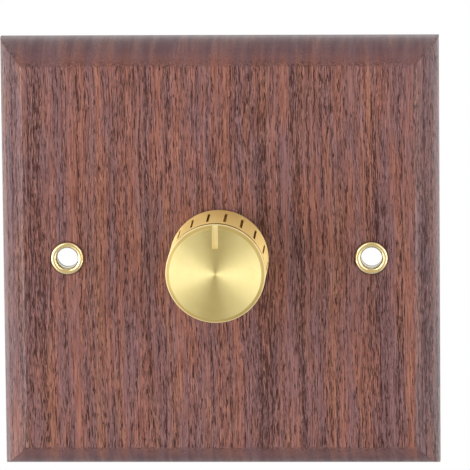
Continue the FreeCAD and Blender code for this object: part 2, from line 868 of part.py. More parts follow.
def make_track(name, inner, pin_x, clockwise=None, anticlockwise=None):
    """A flat contact track on the housing's floor, with a pin back through the board."""
    body = new_body(name)
    profile = rectangle(track_front_y, housing_floor_y, inner, inner + size.track_width)
    turn(body, "track", profile, clockwise, anticlockwise)
    add(body, "pin", XZ, housing_floor_y, board_back_y + size.lead_tail, Circle(pin_x, 0, pin_radius))
    keep(name, body)


def make_switch_rotor():
    """The moulded rotor on the shaft's end, with a blind D bore."""
    body = new_body("switch_rotor")
    radius = size.rotor_diameter / 2
    profile = [(rotor_front_y, 0), (rotor_front_y, radius), (rotor_back_y, radius), (rotor_back_y, 0)]
    turn(body, "disc", profile)
    bore = flatted_circle(shaft_radius + size.fit_clearance, size.shaft_flat + size.fit_clearance)
    cut(body, "bore", XZ, rotor_front_y - size.overcut, shaft_back_y + size.fit_clearance, bore)
    keep("switch_rotor", body)


def make_switch_wiper():
    """A strip that bridges the two tracks. It leaves the outer one at the anticlockwise end: off."""
    body = new_body("switch_wiper")
    half = size.strip_width / 2
    strip_back_y = rotor_back_y + size.strip_thickness
    strip = rectangle(-half, half, inner_track_mid - half, outer_track_mid + half)
    add(body, "strip", XZ, rotor_back_y, strip_back_y, strip)
    dimples = [Circle(0, place, size.dimple_diameter / 2) for place in (inner_track_mid, outer_track_mid)]
    add(body, "dimples", XZ, strip_back_y, track_front_y - size.contact_clearance, *dimples)
    keep("switch_wiper", body)


# Moulded case and cover


def corner_places(rows):
    return [(side * corner_place, row * corner_place) for side in (-1, 1) for row in rows]


def make_case():
    """The moulded box: open at the back, corner blocks for the board, two ears, and a notch at the bottom."""
    body = new_body("module_case")
    outer = centred_rectangle(size.case_size, size.case_size, size.case_corner)
    add(body, "box", XZ, case_front_y, case_back_y, outer)
    inner = centred_rectangle(case_inner_half * 2, case_inner_half * 2, case_inner_corner)
    cut(body, "hollow", XZ, case_floor_y, case_back_y + size.overcut, inner)
    into_wall = case_inner_half + size.case_wall / 2
    near = case_inner_half - size.corner_block
    blocks = [rectangle(near, into_wall, near, into_wall), rectangle(near, into_wall, -into_wall, -near),
              rectangle(-into_wall, -near, near, into_wall), rectangle(-into_wall, -near, -into_wall, -near)]
    add(body, "corner_blocks", XZ, case_floor_y - size.case_wall / 2, board_front_y, *blocks)
    half_ear = size.ear_width / 2
    ear = rectangle(-half_ear, half_ear, case_inner_half, case_half + size.ear_length,
                    None, size.ear_hole_inset)
    upper_ear = add(body, "upper_ear", XZ, case_front_y, case_floor_y, ear)
    mirror(body, "lower_ear", [upper_ear], XY)
    holes = [Circle(0, side * ear_hole_z, screw_radius + size.hole_clearance) for side in (-1, 1)]
    holes += [Circle(0, 0, bush_radius + size.hole_clearance)]
    holes += [Circle(size.pip_offset, 0, size.pip_diameter / 2 + size.hole_clearance)]
    cut(body, "front_holes", XZ, case_front_y - size.overcut, case_floor_y + size.overcut, *holes)
    pilots = [Circle(x, z, screw_hole_radius) for x, z in corner_places([1])]
    pilot_y = case_back_y - size.cover_screw_length - size.hole_clearance
    cut(body, "pilot_holes", XZ, pilot_y, board_front_y + size.overcut, *pilots)
    notch_half = case_inner_half - case_inner_corner
    notch = rectangle(-notch_half, notch_half, board_back_y, case_back_y + size.overcut)
    cut(body, "wire_notch", XY, -(case_half + size.overcut), -(case_inner_half - size.fit_clearance), notch)
    keep("module_case", body)


block_top_z = -case_inner_half + size.block_height
cover_bottom_z = block_top_z - size.block_step + size.cover_clearance


def make_cover():
    """The vented cover over the parts of the board, with two posts that clamp the board to the case."""
    body = new_body("module_cover")
    half = case_inner_half - size.cover_clearance
    plate = rectangle(-half, half, cover_bottom_z, half, None, case_inner_corner)
    add(body, "plate", XZ, cover_front_y, case_back_y, plate)
    posts = [Circle(x, z, size.cover_post_diameter / 2) for x, z in corner_places([1])]
    add(body, "posts", XZ, board_back_y, cover_front_y + size.cover_thickness / 2, *posts)
    holes = [Circle(x, z, screw_radius + size.hole_clearance) for x, z in corner_places([1])]
    cut(body, "screw_holes", XZ, board_back_y - size.overcut, case_back_y + size.overcut, *holes)
    middle_z = (cover_bottom_z + half) / 2
    vents = []
    for index in range(int(size.vent_count.value)):
        x = (index - (size.vent_count - 1) / 2) * size.vent_pitch
        vents.append(rectangle(x - size.vent_width / 2, x + size.vent_width / 2,
                               middle_z - size.vent_length / 2, middle_z + size.vent_length / 2))
    cut(body, "vents", XZ, cover_front_y - size.overcut, case_back_y + size.overcut, *vents)
    keep("module_cover", body)


def make_screw(name, radius, length, head_radius, head_height, point=None):
    """A cross-slotted screw along Y: the head's underside at 0, the head behind it, the shank in front."""
    body = new_body(name)
    tip = point if point is not None else size.fit_clearance
    turn(body, "profile", [
        (-length, 0),
        (-length, radius / 2),
        (-length + tip, radius),
        (0, radius),
        (0, head_radius),
        (head_height / 2, head_radius),
        (head_height, head_radius * 2 / 3),
        (head_height, 0),
    ])
    half = size.screw_slot_width / 2
    reach = head_radius / 2
    for slot, across, along in (("slot", reach, half), ("cross_slot", half, reach)):
        arm = rectangle(-across, across, -along, along)
        cut(body, slot, XZ, head_height - size.screw_slot_depth, head_height + size.overcut, arm)
    return body


def make_module_screws():
    ears = []
    for name, side in (("ear_screw_upper", 1), ("ear_screw_lower", -1)):
        screw = make_screw(name, screw_radius, size.ear_screw_length, size.screw_head_diameter / 2,
                           size.screw_head_height, size.screw_point)
        place_body(screw, y=case_floor_y, z=side * ear_hole_z)
        ears.append(screw)
    keep_group("module_screws", ears)


def make_cover_screws():
    screws = []
    for index, (x, z) in enumerate(corner_places([1]), start=1):
        screw = make_screw(f"cover_screw_{index}", screw_radius, size.cover_screw_length,
                           size.screw_head_diameter / 2, size.screw_head_height, size.screw_point)
        place_body(screw, x=x, y=case_back_y, z=z)
        screws.append(screw)
    keep_group("cover_screws", screws)


# Places of the parts on the board, packed from the walls inwards
sink_left_x = -case_inner_half + size.part_spacing
sink_right_x = sink_left_x + size.sink_thickness
sink_bottom_z = block_top_z + size.part_spacing
sink_top_z = corner_place - size.cover_post_diameter / 2 - size.part_spacing
triac_front_x = sink_right_x + size.triac_thickness
triac_top_z = sink_top_z - size.part_spacing
triac_body_top_z = triac_top_z - size.triac_tab_length
triac_body_bottom_z = triac_body_top_z - size.triac_body
triac_middle_y = triac_low_y + size.triac_width / 2
triac_lead_x = sink_right_x + size.triac_thickness / 2
triac_hole_z = triac_body_top_z + size.triac_tab_length / 2
triac_leads = [(triac_middle_y + (index - 1) * size.triac_lead_pitch,
                triac_body_bottom_z - size.triac_lead_drop - index * size.triac_lead_pitch / 2)
               for index in range(3)]

choke_radius = size.choke_diameter / 2
choke_x = case_inner_half - size.part_spacing * 2 - choke_radius
choke_z = choke_x
choke_lead_places = [(choke_x, choke_z + choke_radius - size.choke_wire / 2),
                     (choke_x + choke_radius - size.choke_wire / 2, choke_z)]

capacitor_right_x = choke_x - choke_radius - size.part_spacing
capacitor_left_x = capacitor_right_x - size.capacitor_length
capacitor_top_z = case_inner_half - size.part_spacing
capacitor_middle_z = capacitor_top_z - size.capacitor_width / 2
capacitor_leads = [(capacitor_left_x + size.part_spacing, capacitor_middle_z),
                   (capacitor_right_x - size.part_spacing, capacitor_middle_z)]

small_left_x = triac_front_x + size.part_spacing
small_middle_x = small_left_x + size.small_capacitor_width / 2
small_top_z = capacitor_top_z - size.capacitor_width - size.part_spacing
small_bottom_z = small_top_z - size.small_capacitor_length
small_leads = [(small_middle_x, small_top_z - size.part_spacing),
               (small_middle_x, small_bottom_z + size.part_spacing)]

axial_middle_z = block_top_z + size.part_spacing + size.axial_pitch / 2
diac_x = small_middle_x
first_resistor_x = case_inner_half - size.part_spacing - size.resistor_diameter / 2
resistor_pitch = size.resistor_diameter + size.part_spacing
resistor_xs = [first_resistor_x - resistor_pitch * place for place in (0, 1)]


def axial_lead_places(x):
    return [(x, axial_middle_z + side * size.axial_pitch / 2) for side in (-1, 1)]


terminal_xs = [(index - (size.terminal_count - 1) / 2) * size.terminal_pitch
               for index in range(int(size.terminal_count.value))]
block_bottom_z = -case_inner_half + size.fit_clearance
clamp_width = size.clamp_opening + size.clamp_wall * 2
clamp_front_y = board_back_y + size.block_floor
clamp_opening_front_y = clamp_front_y + size.clamp_wall
clamp_opening_back_y = clamp_opening_front_y + size.clamp_opening
clamp_back_y = clamp_opening_back_y + size.clamp_thread_wall
clamp_bottom_z = block_bottom_z + size.clamp_inset
clamp_middle_z = clamp_bottom_z + size.clamp_length / 2


def make_board():
    """The circuit board on the corner blocks, drilled for every lead, lug, pin and screw."""
    body = new_body("circuit_board")
    half = case_inner_half - size.board_clearance
    outline = rectangle(-half, half, -half, half, case_inner_corner, case_inner_corner)
    add(body, "board", XZ, board_front_y, board_back_y, outline)
    leads = [(triac_lead_x, z) for _, z in triac_leads]
    leads += choke_lead_places + capacitor_leads + small_leads + axial_lead_places(diac_x)
    for x in resistor_xs:
        leads += axial_lead_places(x)
    holes = [Circle(x, z, lead_hole_radius + size.fit_clearance * 2) for x, z in leads]
    pins = [(inner_track_mid, 0), (-outer_track_mid, 0)] + [(x, clamp_middle_z) for x in terminal_xs]
    holes += [Circle(x, z, pin_hole_radius) for x, z in pins]
    holes += [Circle(x, z, screw_radius + size.hole_clearance) for x, z in corner_places([1])]
    slot = size.fit_clearance
    for x in lug_xs:
        holes.append(rectangle(x - size.lug_width / 2 - slot, x + size.lug_width / 2 + slot,
                               lug_end_z - slot, lug_end_z + size.lug_thickness + slot))
    cut(body, "holes", XZ, board_front_y - size.overcut, board_back_y + size.overcut, *holes)
    keep("circuit_board", body)


def make_heat_sink():
    """A bent aluminium sheet that stands on the board, with a flange turned over at its far edge."""
    body = new_body("heat_sink")
    bend = [
        (sink_left_x, board_back_y),
        (sink_right_x, board_back_y),
        (sink_right_x, sink_far_y - size.sink_thickness),
        (sink_right_x + size.sink_flange, sink_far_y - size.sink_thickness),
        (sink_right_x + size.sink_flange, sink_far_y),
        (sink_left_x, sink_far_y),
    ]
    add(body, "bend", XY, sink_bottom_z, sink_top_z, bend)
    hole = Circle(triac_middle_y, triac_hole_z, size.triac_hole_diameter / 2)
    cut(body, "hole", YZ, sink_left_x - size.overcut, sink_right_x + size.overcut, hole)
    keep("heat_sink", body)


def make_triac():
    """The triac: moulded body and metal tab flat on the sheet, and three leads bent down to the board."""
    body = new_body("triac")
    moulding = rectangle(triac_low_y, triac_high_y, triac_body_bottom_z, triac_body_top_z)
    add(body, "moulding", YZ, sink_right_x, triac_front_x, moulding)
    tab = rectangle(triac_low_y, triac_high_y, triac_body_top_z - size.part_spacing, triac_top_z)
    add(body, "tab", YZ, sink_right_x, sink_right_x + size.triac_tab_thickness, tab)
    hole = Circle(triac_middle_y, triac_hole_z, size.triac_hole_diameter / 2)
    cut(body, "hole", YZ, sink_right_x - size.overcut, triac_front_x + size.overcut, hole)
    for index, (lead_y, lead_z) in enumerate(triac_leads, start=1):
        lead = [
            (lead_front_y, lead_z - lead_radius),
            (lead_y + lead_radius, lead_z - lead_radius),
            (lead_y + lead_radius, triac_body_bottom_z),
            (lead_y - lead_radius, triac_body_bottom_z),
            (lead_y - lead_radius, lead_z + lead_radius),
            (lead_front_y, lead_z + lead_radius),
        ]
        add(body, f"lead_{index}", YZ, triac_lead_x - lead_radius, triac_lead_x + lead_radius, lead)
    keep("triac", body)


def make_triac_screw():
    """The screw that clamps the triac's tab, and the nut behind the sheet."""
    radius = size.triac_hole_diameter / 2 - size.hole_clearance
    grip = size.triac_tab_thickness + size.sink_thickness
    nut_room = size.part_spacing - size.moving_clearance
    screw = make_screw("triac_clamp_screw", radius, grip + nut_room, size.triac_screw_head / 2,
                       size.screw_head_height)
    screw.Placement.Rotation = FreeCAD.Rotation(UPRIGHT, -FULL_ANGLE / 4)
    place_body(screw, x=sink_right_x + size.triac_tab_thickness, y=triac_middle_y, z=triac_hole_z)
    nut = new_body("triac_clamp_nut")
    hole = Circle(triac_middle_y, triac_hole_z, radius + size.fit_clearance)
    half = size.triac_screw_head / 2
    across = rectangle(triac_middle_y - half, triac_middle_y + half, triac_hole_z - half, triac_hole_z + half)
    add(nut, "plate", YZ, sink_left_x - nut_room, sink_left_x, across, hole)
    keep_group("triac_screw", [screw, nut])


def make_choke():
    """The interference choke: a ring core, and a winding of separate turns with its two ends in the board."""
    wire = size.choke_wire + size.fit_clearance
    outer, inner = choke_radius - wire, size.choke_bore / 2 + wire
    low_y = board_back_y + wire
    high_y = board_back_y + size.choke_height - wire
    core = new_body("choke_core")
    turn(core, "ring", rectangle(low_y, high_y, inner, outer))
    place_body(core, x=choke_x, z=choke_z)
    keep("choke_core", core)

    winding = new_body("choke_winding")
    around = rectangle(board_back_y, board_back_y + size.choke_height, size.choke_bore / 2, choke_radius)
    slack = size.fit_clearance
    hollow = rectangle(low_y - slack, high_y + slack, inner - slack, outer + slack)
    half = size.choke_wire / 2
    loop = add(winding, "turn", YZ, -half, half, around, hollow)
    pattern_round(winding, "turns", [loop], size.choke_turns)
    end = choke_radius - half
    ends = [Circle(0, end, lead_radius), Circle(end, 0, lead_radius)]
    add(winding, "ends", XZ, lead_front_y, board_back_y + half, *ends)
    place_body(winding, x=choke_x, z=choke_z)
    keep("choke_winding", winding)


def make_box_capacitor(name, left, right, bottom, top, height, leads):
    """A potted film capacitor: a box with rounded upright edges, and two leads."""
    body = new_body(name)
    box = rectangle(left, right, bottom, top, size.capacitor_edge, size.capacitor_edge)
    add(body, "box", XZ, board_back_y, board_back_y + height, box)
    add(body, "leads", XZ, lead_front_y, board_back_y + lead_radius,
        *[Circle(x, z, lead_radius) for x, z in leads])
    keep(name, body)


def make_axial(name, x, length, diameter):
    """An axial part lying along Z on the board, with both leads bent down through it."""
    body = new_body(name)
    radius = diameter / 2
    middle_y = board_back_y + radius
    low_z, high_z = axial_middle_z - length / 2, axial_middle_z + length / 2
    add(body, "barrel", XY, low_z, high_z, Circle(x, middle_y, radius))
    half = size.axial_pitch / 2 + lead_radius
    wire = rectangle(x - lead_radius, x + lead_radius, middle_y - lead_radius, middle_y + lead_radius)
    add(body, "wire", XY, axial_middle_z - half, axial_middle_z + half, wire)
    for side, (lead_x, lead_z) in zip(("lower", "upper"), axial_lead_places(x)):
        leg = rectangle(lead_x - lead_radius, lead_x + lead_radius,
                        lead_z - lead_radius, lead_z + lead_radius)
        add(body, f"{side}_leg", XZ, lead_front_y, middle_y, leg)
    return body


# Terminal block


def make_terminal_block():
    """The moulded block: a chamber for each clamp open downwards, and a screw hole open to the back."""
    body = new_body("terminal_block")
    half = case_inner_half - size.fit_clearance
    outline = rectangle(-half, half, block_bottom_z, block_top_z, case_inner_corner, None)
    add(body, "block", XZ, board_back_y, case_back_y, outline)
    step = rectangle(-half - size.overcut, half + size.overcut,
                     block_top_z - size.block_step, block_top_z + size.overcut)
    cut(body, "cover_step", XZ, cover_front_y, case_back_y + size.overcut, step)
    chamber_half = clamp_width / 2 + size.fit_clearance
    chamber_back_y = clamp_back_y + size.fit_clearance
    chambers = [rectangle(x - chamber_half, x + chamber_half, clamp_front_y, chamber_back_y)
                for x in terminal_xs]
    chamber_top_z = clamp_bottom_z + size.clamp_length + size.fit_clearance
    cut(body, "chambers", XY, block_bottom_z - size.overcut, chamber_top_z, *chambers)
    head_hole = size.terminal_head_diameter / 2 + size.hole_clearance
    heads = [Circle(x, clamp_middle_z, head_hole) for x in terminal_xs]
    cut(body, "screw_holes", XZ, clamp_back_y - size.overcut, case_back_y + size.overcut, *heads)
    pins = [Circle(x, clamp_middle_z, pin_hole_radius) for x in terminal_xs]
    cut(body, "pin_holes", XZ, board_back_y - size.overcut, clamp_front_y + size.overcut, *pins)
    room = size.hole_clearance
    tails = rectangle(lug_xs[0] - size.lug_width / 2 - room, lug_xs[-1] + size.lug_width / 2 + room,
                      lug_end_z - room, lug_end_z + size.lug_thickness + room)
    cut(body, "lug_recess", XZ, board_back_y - size.overcut, board_back_y + size.lead_tail + room, tails)
    barriers = []
    for left, right in zip(terminal_xs, terminal_xs[1:]):
        middle = (left + right) / 2
        barriers.append(rectangle(middle - size.barrier_width / 2, middle + size.barrier_width / 2,
                                  block_bottom_z, block_top_z - size.block_step))
    add(body, "barriers", XZ, case_back_y - size.barrier_height, case_back_y + size.barrier_height, *barriers)
    keep("terminal_block", body)


def make_terminal_clamp(index, x):
    """A brass cage open downwards for the wire, threaded at the back, with a pin through the board."""
    name = f"terminal_clamp_{index}"
    body = new_body(name)
    outer = rectangle(x - clamp_width / 2, x + clamp_width / 2, clamp_front_y, clamp_back_y)
    opening = rectangle(x - size.clamp_opening / 2, x + size.clamp_opening / 2,
                        clamp_opening_front_y, clamp_opening_back_y)
    add(body, "cage", XY, clamp_bottom_z, clamp_bottom_z + size.clamp_length, outer, opening)
    thread = Circle(x, clamp_middle_z, size.terminal_screw_diameter / 2 + size.fit_clearance)
    cut(body, "thread", XZ, clamp_opening_back_y - size.clamp_wall, clamp_back_y + size.overcut, thread)
    pin_back_y = clamp_front_y + size.clamp_wall / 2
    add(body, "pin", XZ, lead_front_y, pin_back_y, Circle(x, clamp_middle_z, pin_radius))
    keep(name, body)


def make_terminal_screws():
    screws = []
    length = size.terminal_screw_lift + size.clamp_thread_wall - size.hole_clearance
    for index, x in enumerate(terminal_xs, start=1):
        screw = make_screw(f"terminal_screw_{index}", size.terminal_screw_diameter / 2, length,
                           size.terminal_head_diameter / 2, size.terminal_head_height)
        place_body(screw, x=x, y=clamp_back_y + size.terminal_screw_lift, z=clamp_middle_z)
        screws.append(screw)
    keep_group("terminal_screws", screws)


make_plate()
make_ferrule("ferrule_left", -1)
make_ferrule("ferrule_right", 1)
make_knob_shell()
make_knob_core()
make_shaft()
make_shaft_clip()
make_bush()
make_washer()
make_nut()
make_wafer()
make_pot_terminals()
make_can()
make_carrier()
make_wiper()
make_switch_housing()
make_track("contact_ring", inner_track, inner_track_mid)
half_travel = size.travel_angle / 2
make_track("contact_track", outer_track, -outer_track_mid, half_travel + size.off_angle / 2,
           half_travel - size.off_angle)
make_switch_rotor()
make_switch_wiper()
make_case()
make_cover()
make_module_screws()
make_cover_screws()
make_board()
make_heat_sink()
make_triac()
make_triac_screw()
make_choke()
make_box_capacitor("suppression_capacitor", capacitor_left_x, capacitor_right_x,
                   capacitor_top_z - size.capacitor_width, capacitor_top_z, size.capacitor_height,
                   capacitor_leads)
make_box_capacitor("timing_capacitor", small_left_x, small_left_x + size.small_capacitor_width,
                   small_bottom_z, small_top_z, size.small_capacitor_height, small_leads)
keep_group("resistors", [make_axial(f"resistor_{index}", x, size.resistor_length, size.resistor_diameter)
                         for index, x in enumerate(resistor_xs, start=1)])
keep("diac", make_axial("diac", diac_x, size.diac_length, size.diac_diameter))
make_terminal_block()
for number, clamp_x in enumerate(terminal_xs, start=1):
    make_terminal_clamp(number, clamp_x)
make_terminal_screws()
doc.recompute()

# Every object must have computed, every cut must have removed something, and every sub-part must be sound.
failed = [thing.Name for thing in doc.Objects if {"Invalid", "Error"} & set(thing.State)]
if failed:
    raise RuntimeError(f"objects that did not compute: {failed}")
idle = [thing.Name for thing in doc.Objects if thing.TypeId == "PartDesign::Pocket"
        and thing.BaseFeature.Shape.Volume - thing.Shape.Volume < SMALLEST_CUT]
if idle:
    raise RuntimeError(f"cuts that removed nothing: {idle}")
unsound = [name for name, thing in nodes.items() if thing.Shape.isNull() or not thing.Shape.isValid()]
if unsound:
    raise RuntimeError(f"sub-parts with an unsound shape: {unsound}")

os.makedirs("parts", exist_ok=True)
for name, thing in nodes.items():
    thing.Shape.exportStep(os.path.join("parts", f"{name}.step"))
    print(f"{name}: {len(thing.Shape.Solids)} solids, {thing.Shape.Volume:.1f} mm3")
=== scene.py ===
# %% [markdown]
# A rotary dimmer switch: a square wooden plate with a gold knob, two brass-lined fixing holes, and
# the dimmer module behind it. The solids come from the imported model, which is the fixed frame. This
# lesson gives them their finishes, and makes the pieces that are seen closest again as fine
# surfaces.

# %% Load the frame
import json
import math

import bpy
import numpy as np
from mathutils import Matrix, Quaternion, Vector


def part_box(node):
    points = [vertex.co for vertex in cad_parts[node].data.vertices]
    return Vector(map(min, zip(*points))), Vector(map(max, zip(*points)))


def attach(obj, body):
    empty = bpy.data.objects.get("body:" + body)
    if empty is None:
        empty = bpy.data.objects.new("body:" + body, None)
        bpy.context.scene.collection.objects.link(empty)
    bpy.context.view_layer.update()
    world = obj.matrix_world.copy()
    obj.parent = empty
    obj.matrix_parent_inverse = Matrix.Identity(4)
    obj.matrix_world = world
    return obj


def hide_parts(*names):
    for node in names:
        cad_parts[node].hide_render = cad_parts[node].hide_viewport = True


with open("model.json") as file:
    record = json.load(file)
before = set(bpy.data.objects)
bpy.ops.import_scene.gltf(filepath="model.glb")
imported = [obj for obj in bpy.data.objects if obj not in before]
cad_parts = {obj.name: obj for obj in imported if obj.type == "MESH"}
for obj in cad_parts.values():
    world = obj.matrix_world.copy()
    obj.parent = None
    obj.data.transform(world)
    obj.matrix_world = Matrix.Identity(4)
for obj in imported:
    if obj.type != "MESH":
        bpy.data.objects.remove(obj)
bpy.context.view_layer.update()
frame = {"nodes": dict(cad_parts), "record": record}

# %% [markdown]
# Sizes are in millimetres, as on a workshop drawing, and become metres only when a mesh is written.
# The frame tells where each solid lies, so a new piece takes its place from the box of the solid
# that it stands for.

# %% Millimetres
MM = 0.001


def node_box(node):
    """The lowest and highest corner of a solid, in millimetres, as arrays."""
    low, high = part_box(node)
    return np.array(low) / MM, np.array(high) / MM


plate_low, plate_high = node_box("wooden_plate")
knob_low, knob_high = node_box("knob_shell")
print("plate:", plate_high - plate_low, "knob:", knob_high - knob_low)

# %% [markdown]
# The picture was taken from a little to the right and above with a long lens, so the plate stays
# almost square while the knob, which stands out, leans down to the left. The camera was held a
# trace askew. It looks along a fixed direction and is moved sideways until the middle of the plate
# falls on the right spot of the picture.

# %% Camera
IMAGE_SIZE = 470
PLATE_MIDDLE_IN_IMAGE = (219.3, 258.0)
CAMERA_AZIMUTH, CAMERA_ELEVATION = math.radians(2.6), math.radians(10.3)
CAMERA_ROLL = math.radians(-0.55)
CAMERA_DISTANCE, CLIP_START, CLIP_END = 1360, 50, 20000
LENS, SENSOR = 526, 36

level_share = math.cos(CAMERA_ELEVATION)
away = Vector((math.sin(CAMERA_AZIMUTH) * level_share, -math.cos(CAMERA_AZIMUTH) * level_share,
               math.sin(CAMERA_ELEVATION)))
turn = away.to_track_quat("Z", "Y") @ Quaternion((0, 0, 1), CAMERA_ROLL)
pixel = CAMERA_DISTANCE * SENSOR / LENS / IMAGE_SIZE
aside = (IMAGE_SIZE / 2 - PLATE_MIDDLE_IN_IMAGE[0]) * pixel
above = (PLATE_MIDDLE_IN_IMAGE[1] - IMAGE_SIZE / 2) * pixel
plate_middle = Vector((0, plate_low[1], 0))
aim = plate_middle + turn @ Vector((aside, above, 0))

camera_data = bpy.data.cameras.new("camera")
camera_data.lens, camera_data.sensor_width = LENS, SENSOR
camera_data.clip_start, camera_data.clip_end = CLIP_START * MM, CLIP_END * MM
camera = bpy.data.objects.new("camera", camera_data)
bpy.context.collection.objects.link(camera)
camera.rotation_mode = "QUATERNION"
camera.rotation_quaternion = turn
camera.location = (aim + away * CAMERA_DISTANCE) * MM
bpy.context.scene.camera = camera
print("camera:", tuple(round(v, 3) for v in camera.location), "pixel:", round(pixel, 4), "mm")

# %% [markdown]
# Materials are trees of small nodes, and wiring them one by one makes long scripts. Three helpers
# keep the lesson readable: one fills a socket with a number or with another node's output, one
# fills several sockets by their names, and one puts a new node in a tree.

# %% Node helpers


def fill(tree, socket, value):
    """Link a socket to another node's output, or set its value; a colour may leave out its alpha."""
    if isinstance(value, bpy.types.NodeSocket):
        tree.links.new(value, socket)
    elif socket.type == "RGBA" and len(value) == 3:
        socket.default_value = (*value, 1)
    else:
        socket.default_value = value


def connect(tree, node, **sockets):
    """Fill a node's sockets by their names, with _ in place of a space."""
    for name, value in sockets.items():
        fill(tree, node.inputs[name.replace("_", " ")], value)


def put(tree, kind, options=None, **sockets):
    """Add a node, set its options and fill its sockets."""
    node = tree.nodes.new(kind)
    for name, value in (options or {}).items():
        setattr(node, name, value)
    connect(tree, node, **sockets)
    return node


print("node helpers ready")

# %% [markdown]
# Patterns are worked out by arithmetic on places and masks. Each helper below is one step of it,
# takes numbers or outputs of other nodes, and gives back an output.

# %% Arithmetic helpers
VECTOR_MATH = "ShaderNodeVectorMath"
MIX_SHARE, MIX_FIRST, MIX_SECOND, MIX_RESULT = 0, 6, 7, 2


def reckon(tree, operation, *values, kind="ShaderNodeMath"):
    """One arithmetic step on numbers, or with the node for vectors on each of their three parts."""
    node = put(tree, kind, {"operation": operation})
    for socket, value in zip(node.inputs, values):
        fill(tree, socket, value)
    return node.outputs[0]


def average(tree, first, second):
    """Half the sum of two numbers."""
    return reckon(tree, "MULTIPLY", reckon(tree, "ADD", first, second), 0.5)


def between(tree, value, low, high, to_low=0.0, to_high=1.0):
    """Stretch the range from low to high over the new range, held at its ends."""
    node = put(tree, "ShaderNodeMapRange", {"clamp": True}, Value=value, From_Min=low, From_Max=high,
               To_Min=to_low, To_Max=to_high)
    return node.outputs[0]


def blend_colours(tree, share, first, second):
    """A share of 0 gives the first colour, 1 the second."""
    node = put(tree, "ShaderNodeMix", {"data_type": "RGBA"})
    for index, value in ((MIX_SHARE, share), (MIX_FIRST, first), (MIX_SECOND, second)):
        fill(tree, node.inputs[index], value)
    return node.outputs[MIX_RESULT]


def vector_of(tree, x=0.0, y=0.0, z=0.0):
    """A vector put together from three numbers."""
    return put(tree, "ShaderNodeCombineXYZ", X=x, Y=y, Z=z).outputs[0]


def parts_of(tree, vector):
    """The outputs X, Y and Z of a vector."""
    return put(tree, "ShaderNodeSeparateXYZ", Vector=vector).outputs


def length_of(tree, vector):
    """The length of a vector."""
    return put(tree, VECTOR_MATH, {"operation": "LENGTH"}, Vector=vector).outputs["Value"]


print("arithmetic helpers ready")

# %% [markdown]
# Every finish starts with an empty shader, reads its place on the object in millimetres, and uses
# noise for what is uneven. Fine relief is given as a bump, which tilts the light without moving the
# surface.

# %% Material helpers


def new_material(name):
    """A material with an empty Principled shader; gives back the material, its tree and the shader."""
    material = bpy.data.materials.new(name)
    material.use_nodes = True
    tree = material.node_tree
    tree.nodes.clear()
    shader = put(tree, "ShaderNodeBsdfPrincipled")
    put(tree, "ShaderNodeOutputMaterial", Surface=shader.outputs[0])
    return material, tree, shader


def millimetres(tree, centre=(0, 0, 0)):
    """Object coordinates in millimetres from a centre."""
    place = put(tree, "ShaderNodeTexCoord").outputs["Object"]
    offset = tuple(-part for part in centre)
    scale = (1 / MM, 1 / MM, 1 / MM)
    return put(tree, "ShaderNodeMapping", Vector=place, Location=offset, Scale=scale).outputs[0]


def noise(tree, place, scale, detail, roughness=0.5, dimensions="3D"):
    """Smooth noise from 0 to 1, with scale cells in a millimetre and detail octaves of finer noise."""
    return put(tree, "ShaderNodeTexNoise", {"noise_dimensions": dimensions}, Vector=place, Scale=scale,
               Detail=detail, Roughness=roughness).outputs[0]


def bump(tree, height, distance, strength):
    """A normal from a height in the range 0 to 1, where 1 stands distance millimetres proud."""
    node = put(tree, "ShaderNodeBump", Height=height, Distance=distance * MM, Strength=strength)
    return node.outputs[0]


print("material helpers ready")

# %% [markdown]
# The plate is a dark reddish hardwood with open pores. Real grain runs through the whole block, so
# the pattern is worked out in space and not on the surface: a flat picture of wood would break off
# at the moulded edge. Pores and fibres are thin tubes along Z, the way the tree grew: long streaks
# on the face and the sides, and fine specks where the moulding cuts across them. The growth rings
# stand almost square to the face: stripes crowded with pores lie between clear ones and run on into
# the depth, and the pores also line up in rows. The board was sawn a trace askew, so its grain
# leans a little, and a slow sway keeps the lines from being ruled.

# %% Hardwood: grain
RING_SLANT, GRAIN_LEAN = math.radians(2), math.radians(0.7)
GRAIN_ROUGHNESS, NOISE_MIDDLE = 0.6, 0.5
# A layer has an offset that sets it apart, a stretch along X, Y and Z, its cells in a millimetre
# and its detail.
SWAY_LAYER, SWAY_REACH = ((7, 0, 3), (0.25, 0.05, 1), 0.04, 1.0), 1.6
GRAIN_LAYERS = {
    "bands": ((0, 0, 0), (1, 0.1, 0.03), 0.17, 2.0),
    "stripes": ((19, 5, 43), (1, 0.1, 0.024), 0.62, 2.0),
    "hues": ((31, 7, 5), (1, 0.08, 0.13), 0.42, 3.0),
    "flames": ((83, 13, 61), (1, 0.08, 0.07), 0.36, 2.0),
    "fibres": ((3, 17, 9), (1, 0.8, 0.034), 5.6, 3.0),
    "rows": ((71, 2, 15), (1, 0.8, 0.008), 1.5, 2.0),
    "coarse_pores": ((11, 3, 23), (1, 0.8, 0.065), 6.8, 1.0),
    "fine_pores": ((57, 29, 41), (1, 0.8, 0.075), 9.0, 1.0),
}


def grain_noise(tree, place, offset, stretch, scale, detail):
    """Noise of one grain layer; a stretch below 1 draws it out along that axis."""
    drawn = put(tree, "ShaderNodeMapping", Vector=place, Location=offset, Scale=stretch).outputs[0]
    return noise(tree, drawn, scale, detail, GRAIN_ROUGHNESS)


walnut, tree, shader = new_material("walnut")
place = put(tree, "ShaderNodeMapping", Vector=millimetres(tree),
            Rotation=(0, GRAIN_LEAN, RING_SLANT)).outputs[0]
sway = reckon(tree, "SUBTRACT", grain_noise(tree, place, *SWAY_LAYER), NOISE_MIDDLE)
sway = reckon(tree, "MULTIPLY", sway, SWAY_REACH)
place = reckon(tree, "ADD", place, vector_of(tree, x=sway), kind=VECTOR_MATH)
grain = {name: grain_noise(tree, place, *layer) for name, layer in GRAIN_LAYERS.items()}
print("grain layers:", len(grain), "nodes:", len(tree.nodes))

